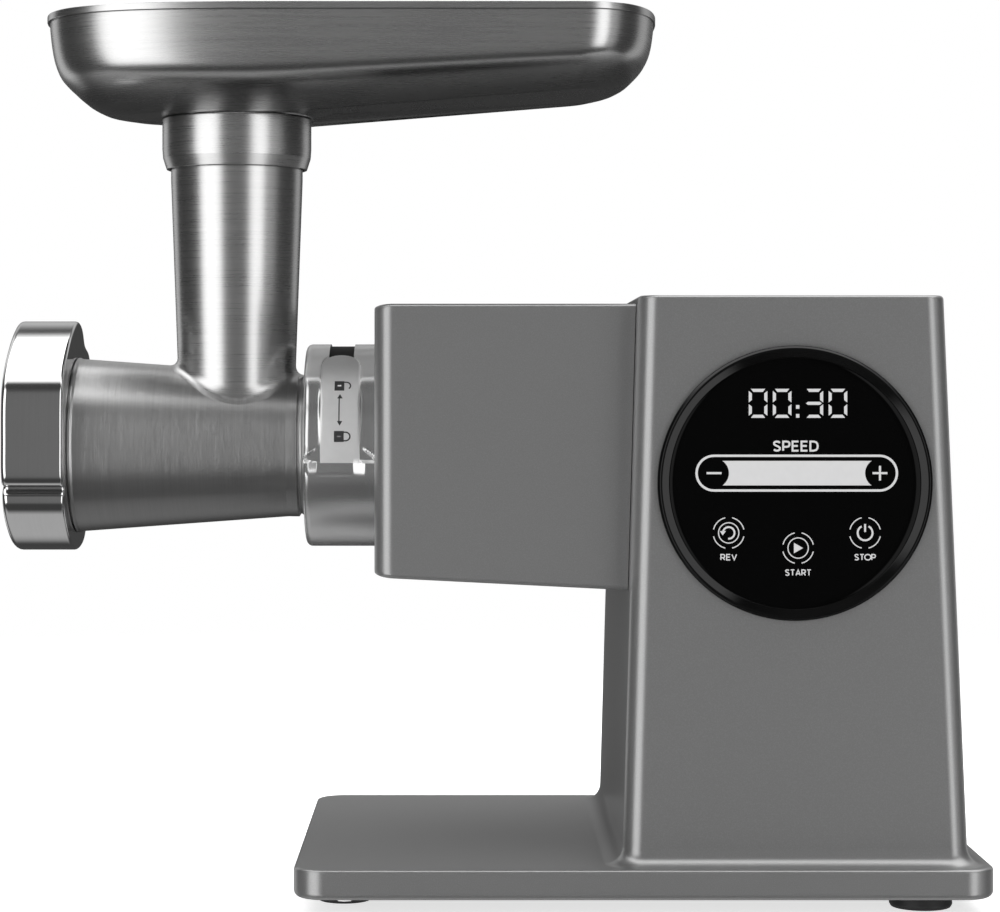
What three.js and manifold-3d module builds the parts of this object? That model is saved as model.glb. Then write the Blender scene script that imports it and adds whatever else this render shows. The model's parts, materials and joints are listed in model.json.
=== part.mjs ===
// Electric meat grinder: a base and column housing with an arm that carries the drive,
// a removable steel grinding head with a feed tube and tray, and the gear train behind it.
// Millimetres, +Z up, the grinding head points along -X, the control panel faces -Y.
import * as THREE from 'three';
import { mergeVertices } from 'three/addons/utils/BufferGeometryUtils.js';
import Module from 'manifold-3d';

const wasm = await Module();
wasm.setup();

// ---- Driving dimensions ----------------------------------------------------------------
const GAP = 0.3;                    // clearance between pieces that touch
const WALL = 3;                     // moulded housing wall
const FOOT_HEIGHT = 6.8;
const BASE = { left: -78.5, right: 204.9, half: 106.5, top: 19.2, corner: 13 };
const COLUMN = {
  footLeft: 54.8, footRight: 195.4, topLeft: 61.3, topRight: 185.5,
  half: 97.5, top: 250.2, corner: 8.3, fillet: 7.6, rearWall: 6.5,
};
const ARM = { end: -46.4, half: 82, top: 247.3, bottomAtEnd: 134.9, bottomSlope: -0.05, corner: 8 };
const AXIS_Z = 187.9;               // height of the grinding axis
const PANEL = { x: 124.1, z: 174.2, radius: 55.6 };
const LOCK_RING = { front: -78, back: ARM.end - GAP, radius: 44.2 };
const SOCKET = { inner: 31.2, outer: 36, flange: 47, front: -74.7 };
const NUT = { front: -204.9, back: -178.65, bore: 37, mouth: 27 };
const BARREL = { front: -197, back: -52, bore: 27.5, seat: 31.2, seatDepth: 9 };
const TUBE = { x: -109, top: 329, taperTop: 303.8, topRadius: 28.8, footRadius: 24.6, wall: 2.7 };
const TRAY = {
  rim: 371.8, half: 78, leftCentre: -65, leftReach: 123.3, rightCentre: 36, rightReach: 37,
  floorZ: 330.2, floorFlatTo: -77, floorRise: 0.081, sheet: 1.2,
};
const COLLAR = { radius: 32.6, bottom: 308.5 };
const OUTPUT = { teeth: 40, module: 1.75 };
const IDLER = { teeth: 50, module: 1.25, pinionTeeth: 10, angle: -18 };
const MOTOR = { pinionTeeth: 10, angle: 130, radius: 34, front: 20, back: 96 };

const degrees = (value) => (value * Math.PI) / 180;
const lerp = THREE.MathUtils.lerp;

// Shaft centres, as [y, z]: the idler hangs beside the output shaft and the motor sits above it.
const OUTPUT_AT = [0, AXIS_Z];
const IDLER_AT = stepFrom(OUTPUT_AT, ((OUTPUT.teeth + IDLER.pinionTeeth) * OUTPUT.module) / 2, IDLER.angle);
const MOTOR_AT = stepFrom(IDLER_AT, ((IDLER.teeth + MOTOR.pinionTeeth) * IDLER.module) / 2, MOTOR.angle);

function stepFrom([y, z], distance, angle) {
  return [y + distance * Math.cos(degrees(angle)), z + distance * Math.sin(degrees(angle))];
}

// ---- Finishes --------------------------------------------------------------------------
const finish = (color, roughness, metalness) => new THREE.MeshStandardMaterial({ color, roughness, metalness });
const PAINT = finish(0x6a6a6c, 0.45, 0.35);
const DARK_PLASTIC = finish(0x2a2b2d, 0.6, 0);
const BRUSHED = finish(0x9a9a9a, 0.32, 1);
const CHROME = finish(0xc4c4c4, 0.15, 1);
const SATIN = finish(0xb0b0b0, 0.28, 1);
const STEEL = finish(0x8d9094, 0.35, 1);
const GLASS = finish(0x08090a, 0.08, 0);
const RUBBER = finish(0x191919, 0.85, 0);
const BOARD = finish(0x1f5a38, 0.5, 0);
const COPPER = finish(0xb06a35, 0.35, 1);
const NYLON = finish(0xe4e0d2, 0.5, 0);
const CARBON = finish(0x303030, 0.7, 0.2);

// ---- Solids ----------------------------------------------------------------------------
function signedVolume(position, index) {
  const [a, b, c] = [new THREE.Vector3(), new THREE.Vector3(), new THREE.Vector3()];
  let volume = 0;
  for (let i = 0; i < index.length; i += 3) {
    a.fromArray(position, index[i] * 3);
    b.fromArray(position, index[i + 1] * 3);
    c.fromArray(position, index[i + 2] * 3);
    volume += a.dot(b.cross(c)) / 6;
  }
  return volume;
}

// A closed geometry as a solid whose faces point outwards.
function solid(geometry) {
  const bare = new THREE.BufferGeometry();
  bare.setAttribute('position', geometry.getAttribute('position').clone());
  if (geometry.index) bare.setIndex(geometry.index.clone());
  const merged = mergeVertices(bare, 1e-4);
  const position = Float32Array.from(merged.getAttribute('position').array);
  const corners = [];
  for (let i = 0; i < merged.index.count; i += 3) {
    const [a, b, c] = [0, 1, 2].map((k) => merged.index.getX(i + k));
    if (a !== b && b !== c && c !== a) corners.push(a, b, c);
  }
  if (signedVolume(position, corners) < 0) corners.reverse();
  return new wasm.Manifold(new wasm.Mesh({
    numProp: 3, vertProperties: position, triVerts: Uint32Array.from(corners),
  }));
}

function geometryOf(shape) {
  const mesh = shape.getMesh();
  const geometry = new THREE.BufferGeometry();
  geometry.setAttribute('position', new THREE.BufferAttribute(mesh.vertProperties, mesh.numProp));
  geometry.setIndex(new THREE.BufferAttribute(mesh.triVerts, 1));
  return geometry;
}

const join = (shapes) => shapes.reduce((whole, next) => whole.add(next));
const cut = (shape, tools) => tools.reduce((whole, tool) => whole.subtract(tool), shape);

// Turns a geometry made along +Y so that it runs along the named axis.
function alongAxis(geometry, axis) {
  if (axis === 'x') geometry.rotateZ(-Math.PI / 2);
  if (axis === 'z') geometry.rotateX(Math.PI / 2);
  return geometry;
}

// Places a geometry that was made about the origin so that its axis passes through (a, b).
function placeAxis(geometry, axis, [a, b]) {
  if (axis === 'x') geometry.translate(0, a, b);
  if (axis === 'y') geometry.translate(a, 0, b);
  if (axis === 'z') geometry.translate(a, b, 0);
  return geometry;
}

// A turned solid: profile is [radius, distance along the axis], open on the axis or closed by itself.
function turned(profile, axis, at, segments = 24) {
  const points = profile.map(([radius, along]) => new THREE.Vector2(radius, along));
  const lathe = new THREE.LatheGeometry(points, segments);
  return solid(placeAxis(alongAxis(lathe, axis), axis, at));
}

function rod(radius, from, to, axis, at, segments = 24) {
  return turned([[0, from], [radius, from], [radius, to], [0, to]], axis, at, segments);
}

function ring(inner, outer, from, to, axis, at, segments = 20) {
  return turned([[inner, from], [outer, from], [outer, to], [inner, to], [inner, from]], axis, at, segments);
}

function block(x0, x1, y0, y1, z0, z1) {
  const box = new THREE.BoxGeometry(x1 - x0, y1 - y0, z1 - z0);
  return solid(box.translate((x0 + x1) / 2, (y0 + y1) / 2, (z0 + z1) / 2));
}

// Joins a row of equal-length outlines into a closed solid; the ends are fans round their middles.
function loft(outlines, startMiddle, endMiddle) {
  const count = outlines[0].length;
  const middleOf = (outline) => outline.reduce((sum, p) => sum.add(p), new THREE.Vector3()).divideScalar(count);
  const vertices = [...outlines.flat(), startMiddle ?? middleOf(outlines[0]), endMiddle ?? middleOf(outlines.at(-1))];
  const index = [];
  for (let row = 0; row + 1 < outlines.length; row += 1) {
    for (let k = 0; k < count; k += 1) {
      const [a, b] = [row * count + k, row * count + ((k + 1) % count)];
      index.push(a, b, b + count, a, b + count, a + count);
    }
  }
  const [start, end, last] = [vertices.length - 2, vertices.length - 1, (outlines.length - 1) * count];
  for (let k = 0; k < count; k += 1) {
    const next = (k + 1) % count;
    index.push(start, next, k, end, last + k, last + next);
  }
  const geometry = new THREE.BufferGeometry();
  geometry.setAttribute('position', new THREE.Float32BufferAttribute(vertices.flatMap((p) => p.toArray()), 3));
  geometry.setIndex(index);
  return solid(geometry);
}

// Rounded rectangle as [u, v] points, the same number for every size.
function roundedRectangle(u0, u1, v0, v1, radius, steps = 3) {
  const corners = [[u1 - radius, v1 - radius, 0], [u0 + radius, v1 - radius, 90],
    [u0 + radius, v0 + radius, 180], [u1 - radius, v0 + radius, 270]];
  const points = [];
  for (const [u, v, start] of corners) {
    for (let k = 0; k <= steps; k += 1) {
      const angle = degrees(start + (90 * k) / steps);
      points.push([u + radius * Math.cos(angle), v + radius * Math.sin(angle)]);
    }
  }
  return points;
}

// An outline of [y, z] points pushed along X.
function prismAlongX(outline, x0, x1) {
  const at = (x) => outline.map(([y, z]) => new THREE.Vector3(x, y, z));
  return loft([at(x0), at(x1)]);
}

// ---- The assembly ----------------------------------------------------------------------
const grinder = new THREE.Group();

function addPart(name, shape, material) {
  const mesh = new THREE.Mesh(geometryOf(shape), material.clone());
  mesh.name = name;
  grinder.add(mesh);
}

// ---- Housing: base, column and arm -----------------------------------------------------
function columnOutline(z, grow, rearGrow = grow) {
  const t = (z - BASE.top) / (COLUMN.top - BASE.top);
  const left = lerp(COLUMN.footLeft, COLUMN.topLeft, t) - grow;
  const right = lerp(COLUMN.footRight, COLUMN.topRight, t) + grow;
  const corner = Math.max(COLUMN.corner + grow, 2);
  return roundedRectangle(left, right, -COLUMN.half - grow, COLUMN.half + rearGrow, corner)
    .map(([x, y]) => new THREE.Vector3(x, y, z));
}

function columnOutside(grow = 0) {
  const outlines = [columnOutline(BASE.top - WALL, COLUMN.fillet + grow)];
  for (let k = 0; k <= 4; k += 1) {
    const angle = degrees(22.5 * k);
    const z = BASE.top + COLUMN.fillet * (1 - Math.cos(angle));
    outlines.push(columnOutline(z, COLUMN.fillet * (1 - Math.sin(angle)) + grow));
  }
  const edge = 1.6;
  outlines.push(columnOutline(COLUMN.top - edge, grow));
  outlines.push(columnOutline(COLUMN.top - edge * 0.3, grow - edge * 0.3));
  outlines.push(columnOutline(COLUMN.top, grow - edge));
  return loft(outlines);
}

function baseOutline(z, grow) {
  return roundedRectangle(BASE.left - grow, BASE.right + grow, -BASE.half - grow, BASE.half + grow,
    BASE.corner + grow).map(([x, y]) => new THREE.Vector3(x, y, z));
}

function baseOutside() {
  const levels = [[FOOT_HEIGHT, -3], [FOOT_HEIGHT + 0.8, -1], [FOOT_HEIGHT + 2.8, 0],
    [BASE.top - 1.4, 0], [BASE.top - 0.4, -0.4], [BASE.top, -1.4]];
  return loft(levels.map(([z, grow]) => baseOutline(z, grow)));
}

const BASE_BOSSES = [[-58, -90], [-58, 90], [189, -54], [189, 54]];
const REAR_COVER = { left: 78, right: 172, bottom: 44, top: 236, ledge: 8, inset: 3.2 };
const REAR_SCREWS = [[82, 48], [168, 48], [82, 232], [168, 232]];
const ARM_WINDOW = { half: 62, bottom: 146, top: 238 };

function mainHousing() {
  const shell = join([baseOutside(), columnOutside()]);
  const below = FOOT_HEIGHT - 2;
  const hollow = [
    loft([baseOutline(below, -WALL), baseOutline(BASE.top - WALL, -WALL)]),
    loft([columnOutline(below, -WALL, -COLUMN.rearWall), columnOutline(COLUMN.top - WALL, -WALL, -COLUMN.rearWall)]),
    rod(PANEL.radius - 5, -COLUMN.half - 2, -COLUMN.half + 6, 'y', [PANEL.x, PANEL.z], 40),
    block(COLUMN.footLeft - 6, COLUMN.topLeft + 6, -ARM_WINDOW.half, ARM_WINDOW.half,
      ARM_WINDOW.bottom, ARM_WINDOW.top),
    block(REAR_COVER.left, REAR_COVER.right, COLUMN.half - REAR_COVER.inset, COLUMN.half + 1,
      REAR_COVER.bottom, REAR_COVER.top),
    block(REAR_COVER.left + REAR_COVER.ledge, REAR_COVER.right - REAR_COVER.ledge, COLUMN.half - 10,
      COLUMN.half + 1, REAR_COVER.bottom + REAR_COVER.ledge, REAR_COVER.top - REAR_COVER.ledge),
    ...REAR_SCREWS.map((at) => rod(1.8, COLUMN.half - 6, COLUMN.half, 'y', at, 8)),
  ];
  const bosses = BASE_BOSSES.map((at) => rod(5, FOOT_HEIGHT + 3, BASE.top + 8, 'z', at, 16));
  const hollowShell = cut(shell, hollow).add(join(bosses).intersect(shell));
  return cut(hollowShell, BASE_BOSSES.map((at) => rod(1.8, FOOT_HEIGHT, BASE.top - 1.5, 'z', at, 8)));
}

function screwDown(at) {
  return join([rod(3.6, 4.4, 6.5, 'z', at, 8), rod(1.5, 6, 16, 'z', at, 6)]);
}

function screwFromRear(at) {
  return join([rod(3, 97.8, 99.6, 'y', at, 8), rod(1.5, 92.2, 98, 'y', at, 6)]);
}

function bottomCover() {
  const inset = -WALL - GAP;
  const plate = loft([baseOutline(FOOT_HEIGHT, inset), baseOutline(FOOT_HEIGHT + 2.4, inset)]);
  const slots = [];
  for (let k = 0; k < 6; k += 1) {
    const x = 96 + 12 * k;
    slots.push(block(x, x + 4, -32, 32, FOOT_HEIGHT - 1, FOOT_HEIGHT + 4));
  }
  const holes = BASE_BOSSES.map((at) => rod(1.8, FOOT_HEIGHT - 1, FOOT_HEIGHT + 4, 'z', at, 8));
  return cut(plate, [...slots, ...holes]);
}

const GLAND_AT = [125, 62];

function rearCover() {
  const plate = block(REAR_COVER.left + GAP, REAR_COVER.right - GAP, COLUMN.half - REAR_COVER.inset + GAP,
    COLUMN.half, REAR_COVER.bottom + GAP, REAR_COVER.top - GAP);
  const vents = [];
  for (let k = 0; k < 7; k += 1) {
    const z = 136 + 12 * k;
    vents.push(block(96, 154, COLUMN.half - 5, COLUMN.half + 1, z, z + 5));
  }
  const holes = REAR_SCREWS.map((at) => rod(1.8, COLUMN.half - 5, COLUMN.half + 1, 'y', at, 8));
  return cut(plate, [...vents, ...holes, rod(7.3, COLUMN.half - 5, COLUMN.half + 1, 'y', GLAND_AT, 14)]);
}

function cordGland() {
  const profile = [[3.6, 90], [9.5, 90], [9.5, 94], [7, 94], [7, 97.8], [8.6, 97.8], [7.4, 103.5],
    [3.6, 103.5], [3.6, 90]];
  return turned(profile, 'y', GLAND_AT, 14);
}

function armOutline(x, sideInset, edgeInset, edge) {
  const bottom = ARM.bottomAtEnd + ARM.bottomSlope * (x - ARM.end);
  return roundedRectangle(-ARM.half + sideInset, ARM.half - sideInset, bottom + edgeInset, ARM.top - edgeInset,
    edge, 2).map(([y, z]) => new THREE.Vector3(x, y, z));
}

const SOCKET_SCREWS = [45, 135, 225, 315].map((angle) => stepFrom(OUTPUT_AT, 42, angle));

function armHousing() {
  const outlines = [];
  for (let k = 0; k <= 4; k += 1) {
    const angle = degrees(22.5 * k);
    outlines.push(armOutline(ARM.end + ARM.corner * (1 - Math.cos(angle)),
      ARM.corner * (1 - Math.sin(angle)), 2 * (1 - Math.sin(angle)), 2));
  }
  const meetsColumn = COLUMN.topLeft + 4;
  outlines.push(armOutline(meetsColumn, 0, 0, 2));
  const inside = loft([armOutline(ARM.end + WALL, WALL, WALL, 1), armOutline(meetsColumn + 2, WALL, WALL, 1)]);
  const holes = SOCKET_SCREWS.map((at) => rod(2.1, ARM.end + 1.2, ARM.end + 4, 'x', at, 8));
  return cut(loft(outlines), [inside, columnOutside(GAP), ...holes,
    rod(SOCKET.outer + GAP, ARM.end - 1, ARM.end + 5, 'x', OUTPUT_AT, 40)]);
}

const FEET = [
  ['foot_head_front', -59, -64, 11.7], ['foot_head_rear', -59, 64, 11.7],
  ['foot_column_front', 178, -79, 13.1], ['foot_column_rear', 178, 79, 13.1],
];

function foot(x, y, radius) {
  const profile = [[0, 0], [radius - 1.6, 0], [radius, 1.6], [radius, FOOT_HEIGHT - GAP], [0, FOOT_HEIGHT - GAP]];
  return turned(profile, 'z', [x, y], 18);
}

addPart('main_housing', mainHousing(), PAINT);
addPart('bottom_cover', bottomCover(), DARK_PLASTIC);
addPart('rear_cover', rearCover(), DARK_PLASTIC);
addPart('arm_housing', armHousing(), PAINT);
addPart('cord_gland', cordGland(), RUBBER);
FEET.forEach(([name, x, y, radius]) => addPart(name, foot(x, y, radius), RUBBER));
BASE_BOSSES.forEach((at, k) => addPart(`bottom_cover_screw_${k + 1}`, screwDown(at), STEEL));
REAR_SCREWS.forEach((at, k) => addPart(`rear_cover_screw_${k + 1}`, screwFromRear(at), STEEL));

// ---- Control panel ---------------------------------------------------------------------
function controlBezel() {
  const face = -COLUMN.half - GAP;
  const outer = PANEL.radius;
  const profile = [[outer - 3, face - 0.7], [outer - 3, face - 2.5], [outer - 1.2, face - 2.5],
    [outer, face - 1.3], [outer, face], [outer - 5.3, face], [outer - 5.3, face + 7], [outer - 7.3, face + 7],
    [outer - 7.3, face - 0.7], [outer - 3, face - 0.7]];
  return turned(profile, 'y', [PANEL.x, PANEL.z], 32);
}

function powerBoard() {
  const x = 84;
  const z = 38;
  return join([
    block(x, x + 84, 70, 71.6, z, z + 84),
    block(x + 8, x + 38, 46, 70.5, z + 10, z + 40),
    block(x + 50, x + 76, 58, 70.5, z + 46, z + 76),
    rod(9, 40, 70.5, 'y', [x + 60, z + 20], 20),
    rod(6, 50, 70.5, 'y', [x + 20, z + 62], 16),
    block(x + 74, x + 80, 62, 70.5, z + 10, z + 36),
  ]);
}

addPart('control_bezel', controlBezel(), DARK_PLASTIC);
addPart('control_glass', rod(PANEL.radius - 3.3, -100.1, -98.8, 'y', [PANEL.x, PANEL.z], 32), GLASS);
addPart('display_board', rod(PANEL.radius - 7.7, -96.4, -94.8, 'y', [PANEL.x, PANEL.z], 32), BOARD);
addPart('power_board', powerBoard(), BOARD);

// ---- Head socket and lock ring ---------------------------------------------------------
function headSocket() {
  const back = ARM.end + WALL + GAP;
  const profile = [[SOCKET.inner, SOCKET.front], [SOCKET.outer, SOCKET.front], [SOCKET.outer, back],
    [SOCKET.flange, back], [SOCKET.flange, back + 4.5], [SOCKET.inner, back + 4.5], [SOCKET.inner, SOCKET.front]];
  const holes = SOCKET_SCREWS.map((at) => rod(2.1, back - 1, back + 6, 'x', at, 8));
  return cut(turned(profile, 'x', OUTPUT_AT, 28), holes);
}

function socketScrew(at) {
  const head = ARM.end + WALL + GAP + 4.8;
  return join([rod(4, head, head + 3, 'x', at, 8), rod(1.8, head - 6.2, head + 1, 'x', at, 6)]);
}

// A slice of tube about the grinding axis; angles run from the top towards -Y.
function tubeSlice(inner, outer, fromAngle, toAngle, x0, x1) {
  const steps = 8;
  const outline = [];
  const point = (radius, angle) => [-radius * Math.sin(degrees(angle)), AXIS_Z + radius * Math.cos(degrees(angle))];
  for (let k = 0; k <= steps; k += 1) outline.push(point(outer, lerp(fromAngle, toAngle, k / steps)));
  for (let k = steps; k >= 0; k -= 1) outline.push(point(inner, lerp(fromAngle, toAngle, k / steps)));
  const shape = new THREE.Shape(outline.map(([y, z]) => new THREE.Vector2(y, z)));
  const slab = new THREE.ExtrudeGeometry(shape, { depth: x1 - x0, bevelEnabled: false });
  slab.rotateZ(Math.PI / 2).rotateY(Math.PI / 2).translate(x0, 0, 0);
  return solid(slab);
}

// The thumb pad stands between two shallow channels; a window above it lets it be seen moving.
const THUMB = { left: -70.6, right: -53.8, from: 26, to: 100, depth: 2.2 };

function lockRing() {
  const { front, back, radius } = LOCK_RING;
  const lip = SOCKET.front - GAP;
  const profile = [[SOCKET.inner, front], [radius - 2, front], [radius - 0.6, front + 0.6], [radius, front + 2],
    [radius, back], [SOCKET.outer + GAP, back], [SOCKET.outer + GAP, lip], [SOCKET.inner, lip], [SOCKET.inner, front]];
  const floor = radius - THUMB.depth;
  return cut(turned(profile, 'x', OUTPUT_AT, 32), [
    tubeSlice(floor, radius + 3, THUMB.from, THUMB.to, front - 1, THUMB.left),
    tubeSlice(floor, radius + 3, THUMB.from, THUMB.to, THUMB.right, back + 1),
    tubeSlice(SOCKET.outer - 1, radius + 3, -12, THUMB.from, -67.5, -56.9),
  ]);
}

addPart('head_socket', headSocket(), DARK_PLASTIC);
SOCKET_SCREWS.forEach((at, k) => addPart(`socket_screw_${k + 1}`, socketScrew(at), STEEL));
addPart('lock_ring', lockRing(), SATIN);

// ---- Grinding head ---------------------------------------------------------------------
function grinderHead() {
  const seatBack = BARREL.front + BARREL.seatDepth;
  const outside = turned([[0, BARREL.front], [36.6, BARREL.front], [36.6, -178.3], [38.8, -178.2], [38.8, -174.6],
    [37.6, -173.4], [30.9, -80.4], [30.6, -78.4], [30.6, BARREL.back], [0, BARREL.back]], 'x', OUTPUT_AT, 28);
  const feed = turned([[0, AXIS_Z], [TUBE.footRadius, AXIS_Z], [TUBE.topRadius, TUBE.taperTop],
    [TUBE.topRadius, TUBE.top], [0, TUBE.top]], 'z', [TUBE.x, 0], 28);
  const { wall } = TUBE;
  const bores = [
    rod(BARREL.seat, BARREL.front - 1, seatBack, 'x', OUTPUT_AT, 28),
    rod(BARREL.bore, seatBack - 1, -66, 'x', OUTPUT_AT, 28),
    rod(10, -67, -57, 'x', OUTPUT_AT, 24),
    rod(BARREL.bore, -58, BARREL.back + 1, 'x', OUTPUT_AT, 28),
    turned([[0, AXIS_Z], [TUBE.footRadius - wall, AXIS_Z], [TUBE.topRadius - wall, TUBE.taperTop],
      [TUBE.topRadius - wall, TUBE.top + 1], [0, TUBE.top + 1]], 'z', [TUBE.x, 0], 28),
  ];
  return cut(join([outside, feed]), bores);
}

// Outline of the nut: three raised cams of unequal height, as [angle from the top towards -Y, radius].
const NUT_CAMS = [[0, 54.2], [32, 51.6], [62, 54.4], [90, 50.8], [107, 46], [114, 51.8], [124, 51.6], [150, 47.6],
  [180, 45.9], [205, 47.2], [222, 46.8], [230, 52], [262, 54.2], [290, 52], [316, 54.6], [334, 50], [345, 53.6]];

function nutOutline(x, inset) {
  const points = NUT_CAMS.map(([angle, radius]) => new THREE.Vector3(
    0, -radius * Math.sin(degrees(angle)), radius * Math.cos(degrees(angle))));
  const outline = new THREE.CatmullRomCurve3(points, true, 'centripetal').getPoints(54).slice(0, 54);
  return outline.map((p) => {
    const scale = (p.length() - inset) / p.length();
    return new THREE.Vector3(x, p.y * scale, AXIS_Z + p.z * scale);
  });
}

function ringNut() {
  const levels = [[NUT.front, 3], [NUT.front + 0.9, 1], [NUT.front + 3, 0], [NUT.back - 1.6, 0], [NUT.back, 1.4]];
  const middle = (x) => new THREE.Vector3(x, 0, AXIS_Z);
  const outside = loft(levels.map(([x, inset]) => nutOutline(x, inset)), middle(NUT.front), middle(NUT.back));
  return cut(outside, [
    rod(NUT.mouth, NUT.front - 1, NUT.back + 1, 'x', OUTPUT_AT, 28),
    rod(NUT.bore, BARREL.front - 0.4, NUT.back + 1, 'x', OUTPUT_AT, 28),
  ]);
}

function grindingPlate() {
  const back = BARREL.front + BARREL.seatDepth - GAP;
  const holes = [rod(4.5, BARREL.front - 1, back + 1, 'x', OUTPUT_AT, 16)];
  for (const [radius, count] of [[12.5, 8], [23, 16]]) {
    for (let k = 0; k < count; k += 1) {
      const at = stepFrom(OUTPUT_AT, radius, (360 * k) / count);
      holes.push(rod(3.2, BARREL.front - 1, back + 1, 'x', at, 6));
    }
  }
  return cut(rod(BARREL.seat - 0.4, BARREL.front + 0.4, back, 'x', OUTPUT_AT, 28), [join(holes)]);
}

function knifeBlade() {
  const outline = [];
  for (let blade = 0; blade < 4; blade += 1) {
    const base = 90 * blade;
    for (const [angle, radius] of [[-52, 9], [-26, 12], [-14, 26.4], [10, 26.4], [24, 10]]) {
      outline.push(stepFrom(OUTPUT_AT, radius, base + angle));
    }
  }
  const middle = (x) => new THREE.Vector3(x, ...OUTPUT_AT);
  const at = (x) => outline.map(([y, z]) => new THREE.Vector3(x, y, z));
  const [x0, x1] = [BARREL.front + BARREL.seatDepth + 0.3, -180.4];
  const hole = block(x0 - 1, x1 + 1, -4.9, 4.9, AXIS_Z - 4.9, AXIS_Z + 4.9);
  return loft([at(x0), at(x1)], middle(x0), middle(x1)).subtract(hole);
}

// One flight wound round a core: the section is turned a little further at each step.
function augerScrew() {
  const [front, back, pitch, steps] = [-178, -69.4, 31, 36];
  const section = [[-20, 12], [-12, 26.6], [12, 26.6], [20, 12]];
  for (let k = 1; k < 8; k += 1) section.push([20 + (320 * k) / 8, 12]);
  const outlines = [];
  for (let k = 0; k <= steps; k += 1) {
    const x = lerp(front, back, k / steps);
    const twist = (360 * (x - front)) / pitch;
    outlines.push(section.map(([angle, radius]) => new THREE.Vector3(x, ...stepFrom(OUTPUT_AT, radius, angle + twist))));
  }
  const middle = (x) => new THREE.Vector3(x, ...OUTPUT_AT);
  const screw = loft(outlines, middle(front), middle(back));
  const square = block(-188, front + 1, -4.6, 4.6, AXIS_Z - 4.6, AXIS_Z + 4.6);
  const pin = rod(4, -195, -180, 'x', OUTPUT_AT, 16);
  return cut(join([screw, square, pin]), [rod(6.3, -86, back + 1, 'x', OUTPUT_AT, 20)]);
}

function augerDriveShaft() {
  return join([
    rod(6, -85.4, -68, 'x', OUTPUT_AT, 20),
    rod(7, -69, -57.4, 'x', OUTPUT_AT, 24),
    rod(7, -58, -38, 'x', OUTPUT_AT, 6),
  ]);
}

function augerBush() {
  const profile = [[7.4, -68.9], [14, -68.9], [14, -66.4], [9.7, -66.4], [9.7, -57.4], [7.4, -57.4], [7.4, -68.9]];
  return turned(profile, 'x', OUTPUT_AT, 24);
}

addPart('grinder_head', grinderHead(), BRUSHED);
addPart('auger_screw', augerScrew(), STEEL);
addPart('auger_drive_shaft', augerDriveShaft(), STEEL);
addPart('auger_bush', augerBush(), NYLON);
addPart('knife_blade', knifeBlade(), STEEL);
addPart('grinding_plate', grindingPlate(), STEEL);
addPart('ring_nut', ringNut(), CHROME);

// ---- Tray ------------------------------------------------------------------------------
// Plan outline: a blunt right end and a longer, softer left end, both superellipses.
function trayPoint(angle, inset) {
  const [c, s] = [Math.cos(angle), Math.sin(angle)];
  const left = c < 0;
  const power = left ? 3.5 : 2.7;
  const reach = left ? TRAY.leftReach - inset : TRAY.rightReach - inset * 0.7;
  const centre = left ? TRAY.leftCentre : TRAY.rightCentre;
  return [centre + Math.sign(c) * reach * Math.abs(c) ** (2 / power),
    Math.sign(s) * (TRAY.half - inset) * Math.abs(s) ** (2 / power)];
}

const trayFloor = (x) => TRAY.floorZ + TRAY.floorRise * Math.max(0, x - TRAY.floorFlatTo);

// depth runs from 0 at the rim to 1 at the floor.
function trayOutline(depth, inset, lift) {
  const outline = [];
  const steps = 8;
  for (let quarter = 0; quarter < 4; quarter += 1) {
    for (let k = 0; k < steps; k += 1) {
      const [x, y] = trayPoint(degrees(quarter * 90 + 90 * (k + 0.5) / steps), inset);
      outline.push(new THREE.Vector3(x, y, lerp(TRAY.rim, trayFloor(x), depth) + lift));
    }
  }
  return outline;
}

const TRAY_WALL = [[0, 0], [0.4, 1.7], [0.68, 6], [0.86, 13.5], [0.96, 22], [1, 32]];

function tray() {
  const outside = loft([trayOutline(0, -0.8, 0), trayOutline(0, -0.8, -2.9), trayOutline(0, 0.2, -3.1),
    ...TRAY_WALL.slice(1).map(([depth, inset]) => trayOutline(depth, inset, 0))]);
  const inside = loft(TRAY_WALL.map(([depth, inset]) => trayOutline(depth, inset + TRAY.sheet,
    depth === 0 ? 2 : TRAY.sheet)));
  return cut(outside, [inside, rod(TUBE.topRadius - TUBE.wall, TRAY.floorZ - 5, TRAY.floorZ + 10, 'z', [TUBE.x, 0], 28)]);
}

function trayCollar() {
  const top = TRAY.floorZ - GAP;
  const { radius, bottom } = COLLAR;
  const profile = [[29.4, bottom], [radius - 1.9, bottom], [radius - 0.3, bottom + 5], [radius, bottom + 9],
    [radius, top - 3], [radius + 2.6, top], [29.4, top], [29.4, bottom]];
  return turned(profile, 'z', [TUBE.x, 0], 28);
}

addPart('tray', tray(), BRUSHED);
addPart('tray_collar', trayCollar(), BRUSHED);

// ---- Gear train ------------------------------------------------------------------------
// Involute gear outline about the origin with a tooth centred on the given angle.
function gearOutline(teeth, module, toothAngle) {
  const pressure = degrees(25);
  const pitch = (teeth * module) / 2;
  const base = pitch * Math.cos(pressure);
  const tip = pitch + 0.8 * module;
  const root = pitch - 1.05 * module;
  const involute = (radius) => {
    const roll = Math.sqrt(Math.max((radius / base) ** 2 - 1, 0));
    return roll - Math.atan(roll);
  };
  const backlash = 0.11 * module;
  const halfAtPitch = Math.PI / (2 * teeth) - backlash / pitch;
  const half = (radius) => halfAtPitch + involute(pitch) - involute(radius);
  const foot = Math.max(base, root + 0.1);
  const outline = [];
  for (let tooth = 0; tooth < teeth; tooth += 1) {
    const centre = degrees(toothAngle) + (2 * Math.PI * tooth) / teeth;
    const flank = [[root, half(foot)], [foot, half(foot)], [tip, half(tip)]];
    for (const [radius, angle] of flank) outline.push([radius, centre - angle]);
    for (const [radius, angle] of flank.reverse()) outline.push([radius, centre + angle]);
  }
  return outline.map(([radius, angle]) => [radius * Math.cos(angle), radius * Math.sin(angle)]);
}

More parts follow.
